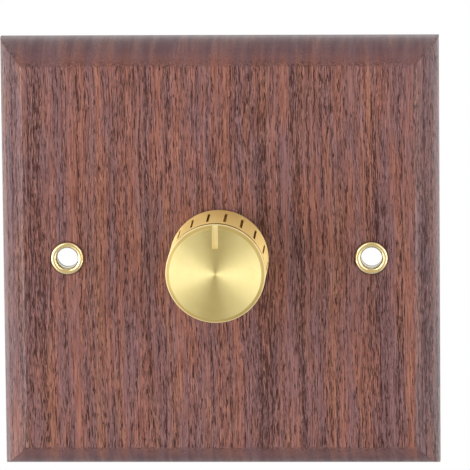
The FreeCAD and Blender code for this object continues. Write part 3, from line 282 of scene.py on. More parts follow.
# %% [markdown]
# Pores aren't drawn one by one. They are where a fine noise passes a threshold, and the threshold
# sinks where the growth stripes and the rows crowd them. Two sizes of pores lie over each other, as
# in the real wood.

# %% Hardwood: pores
PORE_THRESHOLD, COARSE_EDGE, FINE_EDGE, FINE_SHARE = 0.64, 0.015, 0.02, 0.8
CROWD_RANGE, CROWD_SHIFT = (0.40, 0.60), (-0.02, 0.075)
ROW_RANGE, ROW_SHIFT = (0.35, 0.65), (-0.055, 0.075)


def pore_layer(tree, layer, crowding, edge):
    """A mask that goes from 0 to 1 over a narrow edge, where the layer passes the threshold."""
    excess = reckon(tree, "SUBTRACT", layer, reckon(tree, "SUBTRACT", PORE_THRESHOLD, crowding))
    return between(tree, excess, 0.0, edge)


crowded = average(tree, grain["bands"], grain["stripes"])
crowding = reckon(tree, "ADD", between(tree, crowded, *CROWD_RANGE, *CROWD_SHIFT),
                  between(tree, grain["rows"], *ROW_RANGE, *ROW_SHIFT))
coarse_pores = pore_layer(tree, grain["coarse_pores"], crowding, COARSE_EDGE)
fine_pores = pore_layer(tree, grain["fine_pores"], crowding, FINE_EDGE)
pores = reckon(tree, "MAXIMUM", coarse_pores, reckon(tree, "MULTIPLY", fine_pores, FINE_SHARE))
print("pores ready, nodes:", len(tree.nodes))

# %% [markdown]
# The moulding along the top and the bottom cuts across the grain. Such end grain drinks more stain,
# unevenly from stripe to stripe, which darkens it and fills its pores. It ends at the mitre, where
# the moulding of the side begins. A fine dark ring round each ferrule is painted shade, standing in
# for the shadow where its flange meets the wood. Both are masks worked out from the place on the
# plate, so they stay the same from every side.

# %% Hardwood: end grain and painted shadow round the ferrules
MOULDING_WIDTH, END_GRAIN_FADE = 4.7, 3.0
STAIN_RANGE, STAIN_TAKEN = (0.36, 0.64), (0.30, 0.85)
PORE_FILL_RANGE, PORES_LEFT = (-0.1, 1.6), (1.0, 0.25)
# Width in millimetres and darkness of the painted shadow ring round each ferrule's flange.
FERRULE_SHADOW_WIDTH, FERRULE_SHADOW_SHARE = 0.35, 0.75

ferrule_low, ferrule_high = node_box("ferrule_right")
ferrule_x = (ferrule_low[0] + ferrule_high[0]) / 2
flange_radius = (ferrule_high[0] - ferrule_low[0]) / 2

parts = parts_of(tree, millimetres(tree))
from_middle = reckon(tree, "ABSOLUTE", parts["X"])
over_side = reckon(tree, "SUBTRACT", from_middle, plate_high[0] - MOULDING_WIDTH)
from_level = reckon(tree, "ABSOLUTE", parts["Z"])
over_end = reckon(tree, "SUBTRACT", from_level, plate_high[2] - MOULDING_WIDTH)
past_mitre = reckon(tree, "SUBTRACT", over_end, reckon(tree, "MAXIMUM", over_side, 0.0))
stain = between(tree, grain["stripes"], *STAIN_RANGE, *STAIN_TAKEN)
end_grain = reckon(tree, "MULTIPLY", between(tree, past_mitre, 0.0, END_GRAIN_FADE), stain)
pores = reckon(tree, "MULTIPLY", pores, between(tree, past_mitre, *PORE_FILL_RANGE, *PORES_LEFT))
from_ferrule = reckon(tree, "SUBTRACT", from_middle, ferrule_x)
from_axis = length_of(tree, vector_of(tree, from_ferrule, parts["Z"]))
# Painted shade: a dark ring just outside each flange, standing in for its contact shadow.
painted_ferrule_shadow = between(tree, from_axis, flange_radius, flange_radius + FERRULE_SHADOW_WIDTH, FERRULE_SHADOW_SHARE, 0.0)
print("ferrule at", round(ferrule_x, 3), "flange radius", round(flange_radius, 3))

# %% [markdown]
# The ground colour wanders between mauve and red brown of about the same lightness, with orange
# flames here and there. Fine fibres and the growth bands lighten and darken it, and the pores go
# almost black. A rubbed satin finish lies over it all as a thin coat: on the rounded edge it
# mirrors the white room at a shallow angle, which is why the edge looks pale.

# %% Hardwood: colour and finish
MAUVE, RED_BROWN, ORANGE_BROWN = (0.204, 0.096, 0.100), (0.276, 0.103, 0.077), (0.300, 0.120, 0.074)
PORE_COLOUR, END_GRAIN_COLOUR = (0.042, 0.004, 0.003), (0.097, 0.018, 0.029)
STRIPE_PULL, RED_RANGE = 0.5, (0.13, 0.38)
FLAME_RANGE, FLAME_SHARE = (0.56, 0.72), (0.0, 0.7)
FIBRE_RANGE, FIBRE_RED, FIBRE_GREY = (0.25, 0.75), (0.38, 1.64), (0.20, 1.90)
BAND_RANGE, BAND_SHADE = (0.30, 0.70), (1.05, 0.95)
FIBRE_HEIGHT, PORE_DEPTH, WOOD_BUMP = 0.3, 0.10, 0.8
WOOD_ROUGHNESS, WOOD_IOR, COAT_WEIGHT, COAT_ROUGHNESS = (0.36, 0.60), 1.4, 0.25, 0.2

fibres = grain["fibres"]
red = reckon(tree, "SUBTRACT", grain["hues"], reckon(tree, "MULTIPLY", grain["stripes"], STRIPE_PULL))
hue = blend_colours(tree, between(tree, red, *RED_RANGE), MAUVE, RED_BROWN)
hue = blend_colours(tree, between(tree, grain["flames"], *FLAME_RANGE, *FLAME_SHARE), hue, ORANGE_BROWN)
red_level = between(tree, fibres, *FIBRE_RANGE, *FIBRE_RED)
grey_level = between(tree, fibres, *FIBRE_RANGE, *FIBRE_GREY)
levels = vector_of(tree, red_level, grey_level, grey_level)
lit = reckon(tree, "MULTIPLY", hue, levels, kind=VECTOR_MATH)
lit = put(tree, VECTOR_MATH, {"operation": "SCALE"}, Vector=lit,
          Scale=between(tree, grain["bands"], *BAND_RANGE, *BAND_SHADE)).outputs[0]
stained = blend_colours(tree, end_grain, lit, END_GRAIN_COLOUR)
# The pores and the painted ferrule shadow both take the near-black pore colour.
colour = blend_colours(tree, reckon(tree, "MAXIMUM", pores, painted_ferrule_shadow), stained, PORE_COLOUR)
height = reckon(tree, "SUBTRACT", reckon(tree, "MULTIPLY", fibres, FIBRE_HEIGHT), pores)
connect(tree, shader, Base_Color=colour, Roughness=between(tree, pores, 0, 1, *WOOD_ROUGHNESS),
        Normal=bump(tree, height, PORE_DEPTH, WOOD_BUMP), IOR=WOOD_IOR, Coat_Weight=COAT_WEIGHT,
        Coat_Roughness=COAT_ROUGHNESS)
print("wood:", walnut.name)

# %% [markdown]
# Turned metal carries the fine lines of the lathe tool. They depend only on the distance from the
# axis and on the place along it, so one group makes them for the knob and the ferrules: it puts out
# a height and a slight change of shade. Each material gives it coordinates centred on its own axis.

# %% Group: lathe lines
LINE_DETAIL, LINE_ROUGHNESS = 4.0, 0.7
SHADE_SCALE, SHADE_DETAIL = 0.9, 2.0


def new_group(name, *results):
    """A shader group that takes a place and a scale, and puts out one number for each name of a result.

    Gives back the group, the sockets that hold what it was given and the sockets for its results.
    """
    group = bpy.data.node_groups.new(name, "ShaderNodeTree")
    for socket, kind in (("Vector", "Vector"), ("Scale", "Float")):
        group.interface.new_socket(name=socket, in_out="INPUT", socket_type=f"NodeSocket{kind}")
    for socket in results:
        group.interface.new_socket(name=socket, in_out="OUTPUT", socket_type="NodeSocketFloat")
    start = group.nodes.new("NodeGroupInput")
    end = group.nodes.new("NodeGroupOutput")
    return group, start.outputs, end.inputs


def place_group(tree, group, place, scale):
    """Put a group in a material's tree and give back its outputs."""
    return put(tree, "ShaderNodeGroup", {"node_tree": group}, Vector=place, Scale=scale).outputs


lathe_lines, given, result = new_group("lathe lines", "Height", "Shade")
parts = parts_of(lathe_lines, given["Vector"])
radius = length_of(lathe_lines, vector_of(lathe_lines, parts["X"], parts["Z"]))
path = vector_of(lathe_lines, radius, parts["Y"])
fine = noise(lathe_lines, path, given["Scale"], LINE_DETAIL, LINE_ROUGHNESS, dimensions="2D")
broad = noise(lathe_lines, path, SHADE_SCALE, SHADE_DETAIL, dimensions="2D")
fill(lathe_lines, result["Height"], fine)
fill(lathe_lines, result["Shade"], broad)
print("group:", lathe_lines.name)

# %% [markdown]
# Handled metal is never even: skin grease and fine rubbing leave soft patches where it is a little
# duller. This group gives that as a mask from two sizes of noise, for every metal and moulding to
# use with its own strength.

# %% Group: handling
CLOUD_DETAIL, CLOUD_SHARE = 3.0, 0.7
SPECK_SCALE, SPECK_DETAIL, SPECK_SHARE = 4.0, 2.0, 0.3
HANDLED_RANGE = (0.35, 0.65)

handling, given, result = new_group("handling", "Mask")
cloud = noise(handling, given["Vector"], given["Scale"], CLOUD_DETAIL)
specks = noise(handling, given["Vector"], SPECK_SCALE, SPECK_DETAIL)
patches = reckon(handling, "ADD", reckon(handling, "MULTIPLY", cloud, CLOUD_SHARE),
                 reckon(handling, "MULTIPLY", specks, SPECK_SHARE))
fill(handling, result["Mask"], between(handling, patches, *HANDLED_RANGE))
print("group:", handling.name)

# %% [markdown]
# The knob is turned from aluminium, spun with a fine abrasive and anodised gold. Its face shows two
# bright fans, left and right: circular scratches throw light sideways only in the plane through the
# axis. That is anisotropy, with the tangent running along the profile, so the knob's mesh gets a UV
# map whose U follows the profile. The barrel is painted a warmer, deeper gold, a painted reflection
# of the reddish wood, and the chamfer a darker, more matt gold, which is painted shade. The flutes
# and the groove are painted dark as painted shade. The pointer's floor is milled bright, and the
# outer edge of the chamfer carries a thin painted highlight. The mesh carries a mask for each of
# these.

# %% Gold
GOLD_LIGHT, GOLD_DEEP = (0.805, 0.740, 0.410), (0.755, 0.668, 0.325)
# The barrel's warmer gold is a painted reflection of the reddish wood, and the chamfer's darker gold is
# painted shade.
GOLD_BARREL_REFLECTION, GOLD_CHAMFER_SHADE = (0.875, 0.675, 0.300), (0.570, 0.415, 0.135)
# The recess colour is painted shade; the pale gold is the milled pointer's own colour and also a painted
# highlight on the chamfer's outer edge.
GOLD_RECESS_SHADE, GOLD_MILLED_AND_HIGHLIGHT = (0.280, 0.150, 0.030), (0.980, 0.840, 0.470)
GOLD_ROUGHNESS, GOLD_LINE_DEPTH, GOLD_ANISOTROPY, MATT_METALLIC = 0.45, 0.004, 0.9, 0.3
LINE_SCALE, LINE_BUMP, PATCH_SCALE, PATCH_ROUGHNESS = 9.0, 0.5, 0.35, 0.06
PROFILE_MAP = "along_profile"


def turned_metal(name, light, deep, centre, roughness, line_depth):
    """Lathe-turned metal round an axis along Y; gives back material, tree, shader and colour."""
    material, tree, shader = new_material(name)
    place = millimetres(tree, centre)
    lines = place_group(tree, lathe_lines, place, LINE_SCALE)
    worn = place_group(tree, handling, place, PATCH_SCALE)["Mask"]
    colour = blend_colours(tree, average(tree, lines["Shade"], worn), light, deep)
    connect(tree, shader, Base_Color=colour, Metallic=1.0,
            Roughness=between(tree, worn, 0, 1, roughness, roughness + PATCH_ROUGHNESS),
            Normal=bump(tree, lines["Height"], line_depth, LINE_BUMP))
    return material, tree, shader, colour


def mask_of(tree, name):
    """A mask that the mesh carries under this name."""
    return put(tree, "ShaderNodeAttribute", {"attribute_name": name}).outputs["Fac"]


gold, tree, shader, colour = turned_metal("gold_aluminium", GOLD_LIGHT, GOLD_DEEP, (0, 0, 0),
                                          GOLD_ROUGHNESS, GOLD_LINE_DEPTH)
chamfer, milled_and_highlight = mask_of(tree, "chamfer"), mask_of(tree, "milled_and_highlight")
# Painted colours: a warm painted reflection on the barrel, painted shade in the recesses and on the
# chamfer, and pale gold for the milled pointer and a painted edge highlight.
for mask, tone in ((mask_of(tree, "barrel"), GOLD_BARREL_REFLECTION), (mask_of(tree, "recess"), GOLD_RECESS_SHADE),
                   (chamfer, GOLD_CHAMFER_SHADE), (milled_and_highlight, GOLD_MILLED_AND_HIGHLIGHT)):
    colour = blend_colours(tree, mask, colour, tone)
matt = reckon(tree, "MAXIMUM", milled_and_highlight, chamfer)
tangent = put(tree, "ShaderNodeTangent", {"direction_type": "UV_MAP", "uv_map": PROFILE_MAP}).outputs[0]
connect(tree, shader, Base_Color=colour, Metallic=between(tree, matt, 0, 1, 1.0, MATT_METALLIC),
        Anisotropic=GOLD_ANISOTROPY, Tangent=tangent)
print("metal:", gold.name)

# %% [markdown]
# Surfaces are worked out as whole arrays. A turned piece is a profile of stations carried round the
# axis: the grid has one row for each station and one column for each angle. The helper below takes
# such a grid of points, closes it round the axis, closes each end in a single point where asked,
# and turns the faces outwards.

# %% Grid to mesh
SHARP_ANGLE = math.radians(35)


def add_surface(name, points, material, body, along=None, poles=(None, None), closed_profile=False,
                masks=None):
    """Write a grid of points (rows, columns, 3), in millimetres, as a mesh that wraps round its columns.

    Face (i, j) joins (i, j), (i+1, j), (i+1, j+1) and (i, j+1). A pole closes the first or last row
    with a fan of triangles to one point. The signed volume, a sixth of the sum of a . (b x c) over
    the triangles, tells whether the faces point inwards, and then they are all turned over. U runs
    along the profile, V round it. Masks are numbers for each point of the grid, which the material
    reads by their names.
    """
    rows, columns = points.shape[:2]
    vertices = points.reshape(-1, 3)
    row = np.arange(rows if closed_profile else rows - 1)[:, None]
    column = np.arange(columns)[None, :]
    following, beside = (row + 1) % rows, (column + 1) % columns
    corners = [row * columns + column, following * columns + column, following * columns + beside,
               row * columns + beside]
    quads = np.stack([np.broadcast_to(c, (len(row), columns)) for c in corners], -1).reshape(-1, 4)
    along = np.arange(rows + 1.0) if along is None else np.append(along, along[-1] + 1.0)
    u = np.stack([along[row], along[row + 1], along[row + 1], along[row]], -1) + 0 * column[..., None]
    v = np.stack([column, column, column + 1, column + 1], -1) / columns + 0 * row[..., None]
    quad_map = np.stack([u, v], -1).reshape(-1, 2)

    fans, fan_maps = [], []
    for pole, edge, order in zip(poles, (0, rows - 1), (1, -1)):
        if pole is None:
            continue
        tip = len(vertices)
        vertices = np.vstack([vertices, pole])
        ring = edge * columns + column[0]
        next_ring = edge * columns + beside[0]
        fans.append(np.stack([np.full(columns, tip), ring, next_ring], -1)[:, ::order])
        tip_u, edge_u = along[edge] - order, along[edge]
        fan_u = np.tile([tip_u, edge_u, edge_u], (columns, 1))
        fan_v = np.stack([column[0] + 0.5, column[0], column[0] + 1], -1) / columns
        fan_maps.append(np.stack([fan_u, fan_v], -1)[:, ::order].reshape(-1, 2))

    triangles = np.vstack([quads[:, :3], quads[:, [0, 2, 3]], *fans])
    a, b, c = (vertices[triangles[:, k]] for k in range(3))
    inside_out = np.einsum("ij,ij->", a, np.cross(b, c)) < 0
    if inside_out:
        quads, quad_map = quads[:, ::-1], quad_map.reshape(-1, 4, 2)[:, ::-1].reshape(-1, 2)
        fans = [fan[:, ::-1] for fan in fans]
        fan_maps = [fan_map.reshape(-1, 3, 2)[:, ::-1].reshape(-1, 2) for fan_map in fan_maps]

    mesh = bpy.data.meshes.new(name)
    faces = quads.tolist() + [face for fan in fans for face in fan.tolist()]
    mesh.from_pydata((vertices * MM).tolist(), [], faces)
    layer = mesh.uv_layers.new(name=PROFILE_MAP)
    layer.data.foreach_set("uv", np.vstack([quad_map, *fan_maps]).astype(np.float32).ravel())
    for mask, values in (masks or {}).items():
        values = np.append(values.ravel(), np.zeros(len(vertices) - values.size))
        mesh.attributes.new(mask, "FLOAT", "POINT").data.foreach_set("value", values.astype(np.float32))
    mesh.shade_smooth()
    mesh.set_sharp_from_angle(angle=SHARP_ANGLE)
    mesh.materials.append(material)
    piece = bpy.data.objects.new(name, mesh)
    bpy.context.collection.objects.link(piece)
    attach(piece, body)
    print(f"{name}: {len(vertices)} vertices, {len(triangles)} triangles")
    return piece


# %% [markdown]
# A turner thinks of a profile as straight runs with broken corners. The first helper rounds the
# corners of such a profile with arcs, and the second puts more stations on its long runs, so that a
# mask has points to change on.

# %% Profiles


def round_corners(corners, steps):
    """A profile through corners (y, radius, rounding), each rounded by an arc tangent to its sides.

    With half the angle between the sides h, the arc touches them rounding / tan h from the corner,
    and its middle is rounding / sin h from it along their bisector.
    """
    corners = np.array(corners, float)
    pieces = []
    for before, corner, after in zip(np.roll(corners, 1, 0), corners, np.roll(corners, -1, 0)):
        if corner[2] == 0:
            pieces.append(corner[None, :2])
            continue
        sides = [side[:2] - corner[:2] for side in (before, after)]
        sides = [side / np.linalg.norm(side) for side in sides]
        half = math.acos(np.clip(sides[0] @ sides[1], -1, 1)) / 2
        bisector = (sides[0] + sides[1]) / np.linalg.norm(sides[0] + sides[1])
        middle = corner[:2] + bisector * corner[2] / math.sin(half)
        ends = [corner[:2] + side * corner[2] / math.tan(half) - middle for side in sides]
        sweep = math.pi - 2 * half
        share = np.linspace(0, 1, steps)[:, None]
        arc = (np.sin((1 - share) * sweep) * ends[0] + np.sin(share * sweep) * ends[1]) / math.sin(sweep)
        pieces.append(middle + arc)
    return np.vstack(pieces)


def divide(profile, spacing):
    """Put stations on each straight run of a profile so that none is longer than the spacing."""
    runs = np.linalg.norm(np.diff(profile, axis=0), axis=1)
    counts = np.maximum(1, np.ceil(runs / spacing)).astype(int)
    pieces = [start + (end - start) * np.linspace(0, 1, count, endpoint=False)[:, None]
              for start, end, count in zip(profile, profile[1:], counts)]
    return np.vstack([*pieces, profile[-1:]])


print("surface helpers ready")

# %% [markdown]
# The knob cap is one such surface: a spun face, a chamfer, a narrow rim, a groove, the fluted
# barrel and the hollow inside. Its outer size comes from the frame. The flutes are cut with a
# slitting cutter, so each one is a slot with upright walls and round ends, and the pointer is a
# slot milled across the rim of the face.

# %% Knob cap: sizes
KNOB_CHAMFER, RIM_WIDTH, GROOVE_WIDTH, GROOVE_DEPTH = 0.8, 0.5, 1.0, 0.5
KNOB_WALL, KNOB_FACE = 1.3, 1.8
FLUTE_COUNT, FLUTE_WIDTH, FLUTE_DEPTH, FLUTE_LEAD, FLUTE_LAND = 18, 0.5, 0.6, 2.0, 3.4
POINTER_WIDTH, POINTER_LENGTH, POINTER_DEPTH = 1.1, 4.7, 0.6
EDGE_ROUNDING, BACK_ROUNDING, INSIDE_ROUNDING = 0.08, 0.2, 0.32

front, back, knob_radius = knob_low[1], knob_high[1], knob_high[0]
face_edge = knob_radius - KNOB_CHAMFER
groove_radius = knob_radius - GROOVE_DEPTH
inner_radius = knob_radius - KNOB_WALL
pointer_end = knob_radius - POINTER_LENGTH
rim_y = front + KNOB_CHAMFER
groove_y = rim_y + RIM_WIDTH
barrel_y = groove_y + GROOVE_WIDTH
inside_y = front + KNOB_FACE
flute_half, slot_half = FLUTE_WIDTH / 2, POINTER_WIDTH / 2
flute_start = barrel_y + FLUTE_LEAD + flute_half
flute_stop = back - FLUTE_LAND - flute_half
print("knob radius:", round(knob_radius, 3), "flute length:", round(flute_stop - flute_start, 3))

# %% [markdown]
# Stations stand far apart where nothing happens and crowd where a wall drops into a slot, because
# the walls are drawn as a steep blend over a small width. The margins keep the even rows clear of
# the crowded ones.

# %% Knob cap: stations
KNOB_ARC_STEPS, RIM_SPACING, INSIDE_SPACING = 5, 0.1, 2.0
WALL_BLUR, WALL_STEPS = 0.06, np.array([-1, -0.5, 0, 0.5, 1])
HUB_RADIUS, BEFORE_POINTER, PAST_POINTER, FACE_MARGIN = 0.3, 0.12, 0.2, 0.2
HUB_ROWS, RIM_ROWS = 14, 10
BARREL_MARGIN, FLUTE_MARGIN, BACK_MARGIN = 0.15, 0.5, 0.25
LEAD_ROWS, FLUTE_ROWS, LAND_ROWS = 5, 7, 6
END_STEPS = np.array([-1.3, -1.12, -1.06, -1, -0.94, -0.88, -0.75, -0.5, 0])

face_radii = np.concatenate([
    np.linspace(HUB_RADIUS, pointer_end - BEFORE_POINTER, HUB_ROWS),
    pointer_end + WALL_BLUR * WALL_STEPS,
    np.linspace(pointer_end + PAST_POINTER, face_edge - FACE_MARGIN, RIM_ROWS)])
face_stations = np.column_stack([np.full_like(face_radii, front), face_radii])
end_steps = flute_half * END_STEPS
barrel_ys = np.concatenate([
    np.linspace(barrel_y + BARREL_MARGIN, flute_start - FLUTE_MARGIN, LEAD_ROWS),
    flute_start + end_steps,
    np.linspace(flute_start, flute_stop, FLUTE_ROWS)[1:-1],
    flute_stop - end_steps[::-1],
    np.linspace(flute_stop + FLUTE_MARGIN, back - BACK_MARGIN, LAND_ROWS)])
barrel_stations = np.column_stack([barrel_ys, np.full_like(barrel_ys, knob_radius)])
rim_stations = round_corners([
    (front, face_edge - FACE_MARGIN, 0), (front, face_edge, EDGE_ROUNDING),
    (rim_y, knob_radius, EDGE_ROUNDING), (groove_y, knob_radius, EDGE_ROUNDING),
    (groove_y, groove_radius, EDGE_ROUNDING), (barrel_y, groove_radius, EDGE_ROUNDING),
    (barrel_y, knob_radius, EDGE_ROUNDING),
    (barrel_y + BARREL_MARGIN, knob_radius, 0)], KNOB_ARC_STEPS)[1:-1]
inside_stations = round_corners([
    (back - BACK_MARGIN, knob_radius, 0), (back, knob_radius, BACK_ROUNDING),
    (back, inner_radius, EDGE_ROUNDING), (inside_y, inner_radius, INSIDE_ROUNDING),
    (inside_y, HUB_RADIUS, 0)], KNOB_ARC_STEPS)[1:]
sections = {"face": face_stations, "rim": divide(rim_stations, RIM_SPACING), "barrel": barrel_stations,
            "inside": divide(inside_stations, INSIDE_SPACING)}
stations = np.vstack(list(sections.values()))
section = np.repeat(list(sections), [len(part) for part in sections.values()])
on_front, on_rim, on_barrel = stations[:, 0] < groove_y, section == "rim", section == "barrel"
print("stations:", len(stations))

# %% [markdown]
# Columns crowd at the flutes' walls in the same way. Those at the pointer are given by their
# distance from its middle line instead, because its walls are parallel.

# %% Knob cap: angles
FLUTE_WALL_STEPS = np.array([0.4, 0.75, 0.88, 0.94, 1, 1.06, 1.12, 1.4])
LAND_START, LAND_COLUMNS = 2, 8
SLOT_INSIDE, SLOT_OUTSIDE, SLOT_CLEARANCE = [0, 0.25, 0.4], [0.66, 0.8], 1.15

pitch = 2 * math.pi / FLUTE_COUNT
flute_angle = math.asin(flute_half / knob_radius)
cut_angles = flute_angle * np.concatenate([-FLUTE_WALL_STEPS[::-1], [0], FLUTE_WALL_STEPS])
land_angles = np.linspace(flute_angle * LAND_START, pitch - flute_angle * LAND_START, LAND_COLUMNS)
one_flute = np.concatenate([cut_angles, land_angles])
angles = (pitch / 2 + one_flute[None, :] + pitch * np.arange(FLUTE_COUNT)[:, None]).ravel()
angles = (angles + math.pi) % (2 * math.pi) - math.pi
slot_xs = np.concatenate([SLOT_INSIDE, slot_half + WALL_BLUR * WALL_STEPS / 2, SLOT_OUTSIDE])
slot_xs = np.concatenate([-slot_xs[:0:-1], slot_xs])
slot_limit = math.asin(slot_xs[-1] / knob_radius)
clear_of_slot = np.abs(angles) > slot_limit * SLOT_CLEARANCE
angles = np.sort(np.concatenate([angles[clear_of_slot], np.arcsin(slot_xs / knob_radius)]))
print("angles:", len(angles))

# %% [markdown]
# With the stations and angles known, three short formulas give every point: where the columns go
# near the pointer, how deep the flutes are, and how deep the pointer's slot is. A point is inside a
# flute where its distance to a short line along the barrel is under half the slot's width. Near the
# pointer, the columns run straight alongside it and not towards the middle, so that its walls are
# clean. The same numbers are kept as the masks for the gold.

# %% Knob cap: surface
SPREAD_LIMIT = pitch
FLUTE_SHADE_SPREAD, EDGE_HIGHLIGHT_WIDTH = 3, 0.4


def smooth_step(value):
    """Go from 0 to 1 with a soft start and end, as 3 t^2 - 2 t^3."""
    value = np.clip(value, 0, 1)
    return value * value * (3 - 2 * value)


def straighten(angles, radii):
    """Columns near the pointer keep their distance x from its middle line, at the angle asin(x / r).

    Those up to one flute pitch away are squeezed in proportion, and the rest stay where they are.
    """
    near = np.clip(knob_radius / radii, 1, knob_radius / pointer_end)[:, None]
    x = knob_radius * np.sin(np.clip(np.abs(angles), 0, slot_limit))
    inner = np.arcsin(x / knob_radius * near)
    limit = np.arcsin(np.sin(slot_limit) * near)
    share = np.clip((np.abs(angles) - slot_limit) / (SPREAD_LIMIT - slot_limit), 0, 1)
    outer = limit + (SPREAD_LIMIT - limit) * share
    warped = np.where(np.abs(angles) <= slot_limit, inner, outer)
    return np.where(np.abs(angles) >= SPREAD_LIMIT, angles, np.sign(angles) * warped)


def inside_wall(depth):
    """Blend from 0 outside a wall to 1 inside it, from the depth past its middle."""
    return smooth_step(depth / WALL_BLUR + 0.5)


station_y, station_r = stations[:, :1], stations[:, 1:]
theta = straighten(angles[None, :], np.where(on_front, stations[:, 1], knob_radius))
to_flute = (theta % pitch - pitch / 2) * knob_radius
past_end = np.maximum(np.maximum(flute_start - station_y, station_y - flute_stop), 0)
inside_flute = inside_wall(flute_half - np.hypot(to_flute, past_end)) * on_barrel[:, None]
radii = station_r - FLUTE_DEPTH * inside_flute
x, z = radii * np.sin(theta), radii * np.cos(theta)
slot = inside_wall(slot_half - np.abs(x)) * inside_wall(z - pointer_end)
floor_y = front + POINTER_DEPTH * slot
depth = np.where(on_front[:, None], np.maximum(station_y, floor_y), station_y)

# Painted shade: the flutes and the groove get a dark colour where shade falls in them.
flute_shade = np.clip(FLUTE_SHADE_SPREAD * inside_flute, 0, 1)
in_groove = np.clip((knob_radius - station_r) / EDGE_ROUNDING, 0, 1) * (on_rim & ~on_front)[:, None]
before_rim = (on_rim & (stations[:, 0] < rim_y))[:, None]
on_chamfer = np.clip((station_y - front) / EDGE_ROUNDING, 0, 1) * before_rim
to_edge = np.hypot(station_y - rim_y, station_r - knob_radius)
# Painted highlight: a thin pale line along the chamfer's outer edge.
painted_edge_highlight = smooth_step(1 - to_edge / EDGE_HIGHLIGHT_WIDTH) * on_rim[:, None]
milled = slot * (on_front[:, None] & (floor_y > station_y))
past_rim = (on_barrel | (station_y[:, 0] > rim_y))[:, None]
masks = {"recess": np.maximum(flute_shade, in_groove), "chamfer": on_chamfer + 0 * theta,
         "milled_and_highlight": np.maximum(milled, painted_edge_highlight), "barrel": past_rim + 0 * theta}
along = np.concatenate([[0], np.cumsum(np.linalg.norm(np.diff(stations, axis=0), axis=1))])
knob_cap = add_surface("knob_cap", np.stack([x, depth, z], -1), gold, "knob", along,
                       poles=((0, front, 0), (0, inside_y, 0)), masks=masks)
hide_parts("knob_shell")

# %% [markdown]
# The ferrules are small brass tubes, turned with a rounded rim and mouth, pressed into the fixing
# holes and clinched over behind. Each one is a closed profile carried round its own axis. The tool
# that bored them has left two fine rings inside. Behind the mouth and towards the back, two bands of
# the bore are painted dark as painted shade, which shows as thin dark arcs under the hole.

# %% Ferrules
FERRULE_BORE, FERRULE_WALL, FERRULE_FLARE, FERRULE_LIP = 2.1, 0.5, 0.8, 0.4
RIM_ROUNDING, MOUTH_ROUNDING = 0.45, 0.58
BORE_RING_WIDTH, BORE_RING_DEPTH, BORE_RING_PLACES = 0.24, 0.12, (0.75, 1.45)
# Two bands inside the bore, in millimetres behind the mouth, that are painted dark as shade.
BORE_SHADE_BANDS = ((0.6, 1.2), (2.5, 4.3))
FERRULE_ARC_STEPS, FERRULE_SPACING, FERRULE_COLUMNS = 9, 0.3, 144
BRASS_LIGHT, BRASS_DEEP = (0.900, 0.805, 0.530), (0.820, 0.705, 0.420)
# The dark colour painted in those bands as shade.
BRASS_BORE_SHADE = (0.090, 0.060, 0.030)
BRASS_ROUGHNESS, BRASS_LINE_DEPTH = 0.2, 0.003


def brass_with_bore_shade(side, middle):
    """Turned brass round the ferrule's axis, painted dark as shade where the mesh marks bands of the
    bore.
    """
    brass, tree, shader, colour = turned_metal(f"polished_brass_{side}", BRASS_LIGHT, BRASS_DEEP,
                                               tuple(middle), BRASS_ROUGHNESS, BRASS_LINE_DEPTH)
    colour = blend_colours(tree, mask_of(tree, "bore_shade"), colour, BRASS_BORE_SHADE)
    connect(tree, shader, Base_Color=colour)
    return brass


def make_ferrule(side):
    """A profile carried round: flared bore with rings, rounded mouth and rim, tube, clinched lip."""
    node = f"ferrule_{side}"
    low, high = node_box(node)
    middle = (low + high) / 2
    flange, face, web = (high[0] - low[0]) / 2, plate_low[1], high[1] - FERRULE_LIP
    tube = FERRULE_BORE + FERRULE_WALL
    lip = tube + FERRULE_LIP
    rings = [(low[1] + place + step * BORE_RING_WIDTH / 2,
              FERRULE_BORE + (1 - abs(step)) * BORE_RING_DEPTH, 0)
             for place in reversed(BORE_RING_PLACES) for step in (1, 0, -1)]
    profile = round_corners([
        (high[1], FERRULE_BORE, FERRULE_FLARE), *rings, (low[1], FERRULE_BORE, MOUTH_ROUNDING),
        (low[1], flange, RIM_ROUNDING), (face, flange, EDGE_ROUNDING), (face, tube, 0), (web, tube, 0),
        (web, lip, EDGE_ROUNDING), (high[1], lip, EDGE_ROUNDING)], FERRULE_ARC_STEPS)
    profile = divide(profile, FERRULE_SPACING)
    turns = np.linspace(0, 2 * math.pi, FERRULE_COLUMNS, endpoint=False)[None, :]
    y, r = profile[:, :1], profile[:, 1:]
    points = np.stack([middle[0] + r * np.sin(turns), y + 0 * turns, middle[2] + r * np.cos(turns)], -1)
    # Painted shade: the bore's wall is darkened in two bands, standing in for its shadowed arcs.
    in_bands = sum((y > low[1] + start) & (y < low[1] + stop) for start, stop in BORE_SHADE_BANDS)
    bore_shade = in_bands * (r < tube) + 0 * turns
    piece = add_surface(f"brass_ferrule_{side}", points, brass_with_bore_shade(side, middle), "base",
                        closed_profile=True, masks={"bore_shade": bore_shade})
    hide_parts(node)


for side in ("left", "right"):
    make_ferrule(side)

# %% [markdown]
# Mouldings come out of a spark-eroded tool with a fine even texture. One group makes that skin, and
# each plastic gets its own colour and gloss. Handling leaves them a little more or less glossy in
# patches.

# %% Group: moulded skin
FLOW_SCALE, FLOW_DETAIL = 0.12, 3.0
SKIN_SCALE, SKIN_DEPTH, SKIN_BUMP = 6.0, 0.02, 0.35
MOULDED_PATCH_SCALE, MOULDED_PATCH_ROUGHNESS, MOULDED_IOR = 0.2, 0.06, 1.5

moulded_skin, given, result = new_group("moulded skin", "Height", "Shade")
grains = put(moulded_skin, "ShaderNodeTexVoronoi", {"feature": "SMOOTH_F1"}, Vector=given["Vector"],
             Scale=given["Scale"]).outputs["Distance"]
fill(moulded_skin, result["Height"], grains)
fill(moulded_skin, result["Shade"], noise(moulded_skin, given["Vector"], FLOW_SCALE, FLOW_DETAIL))


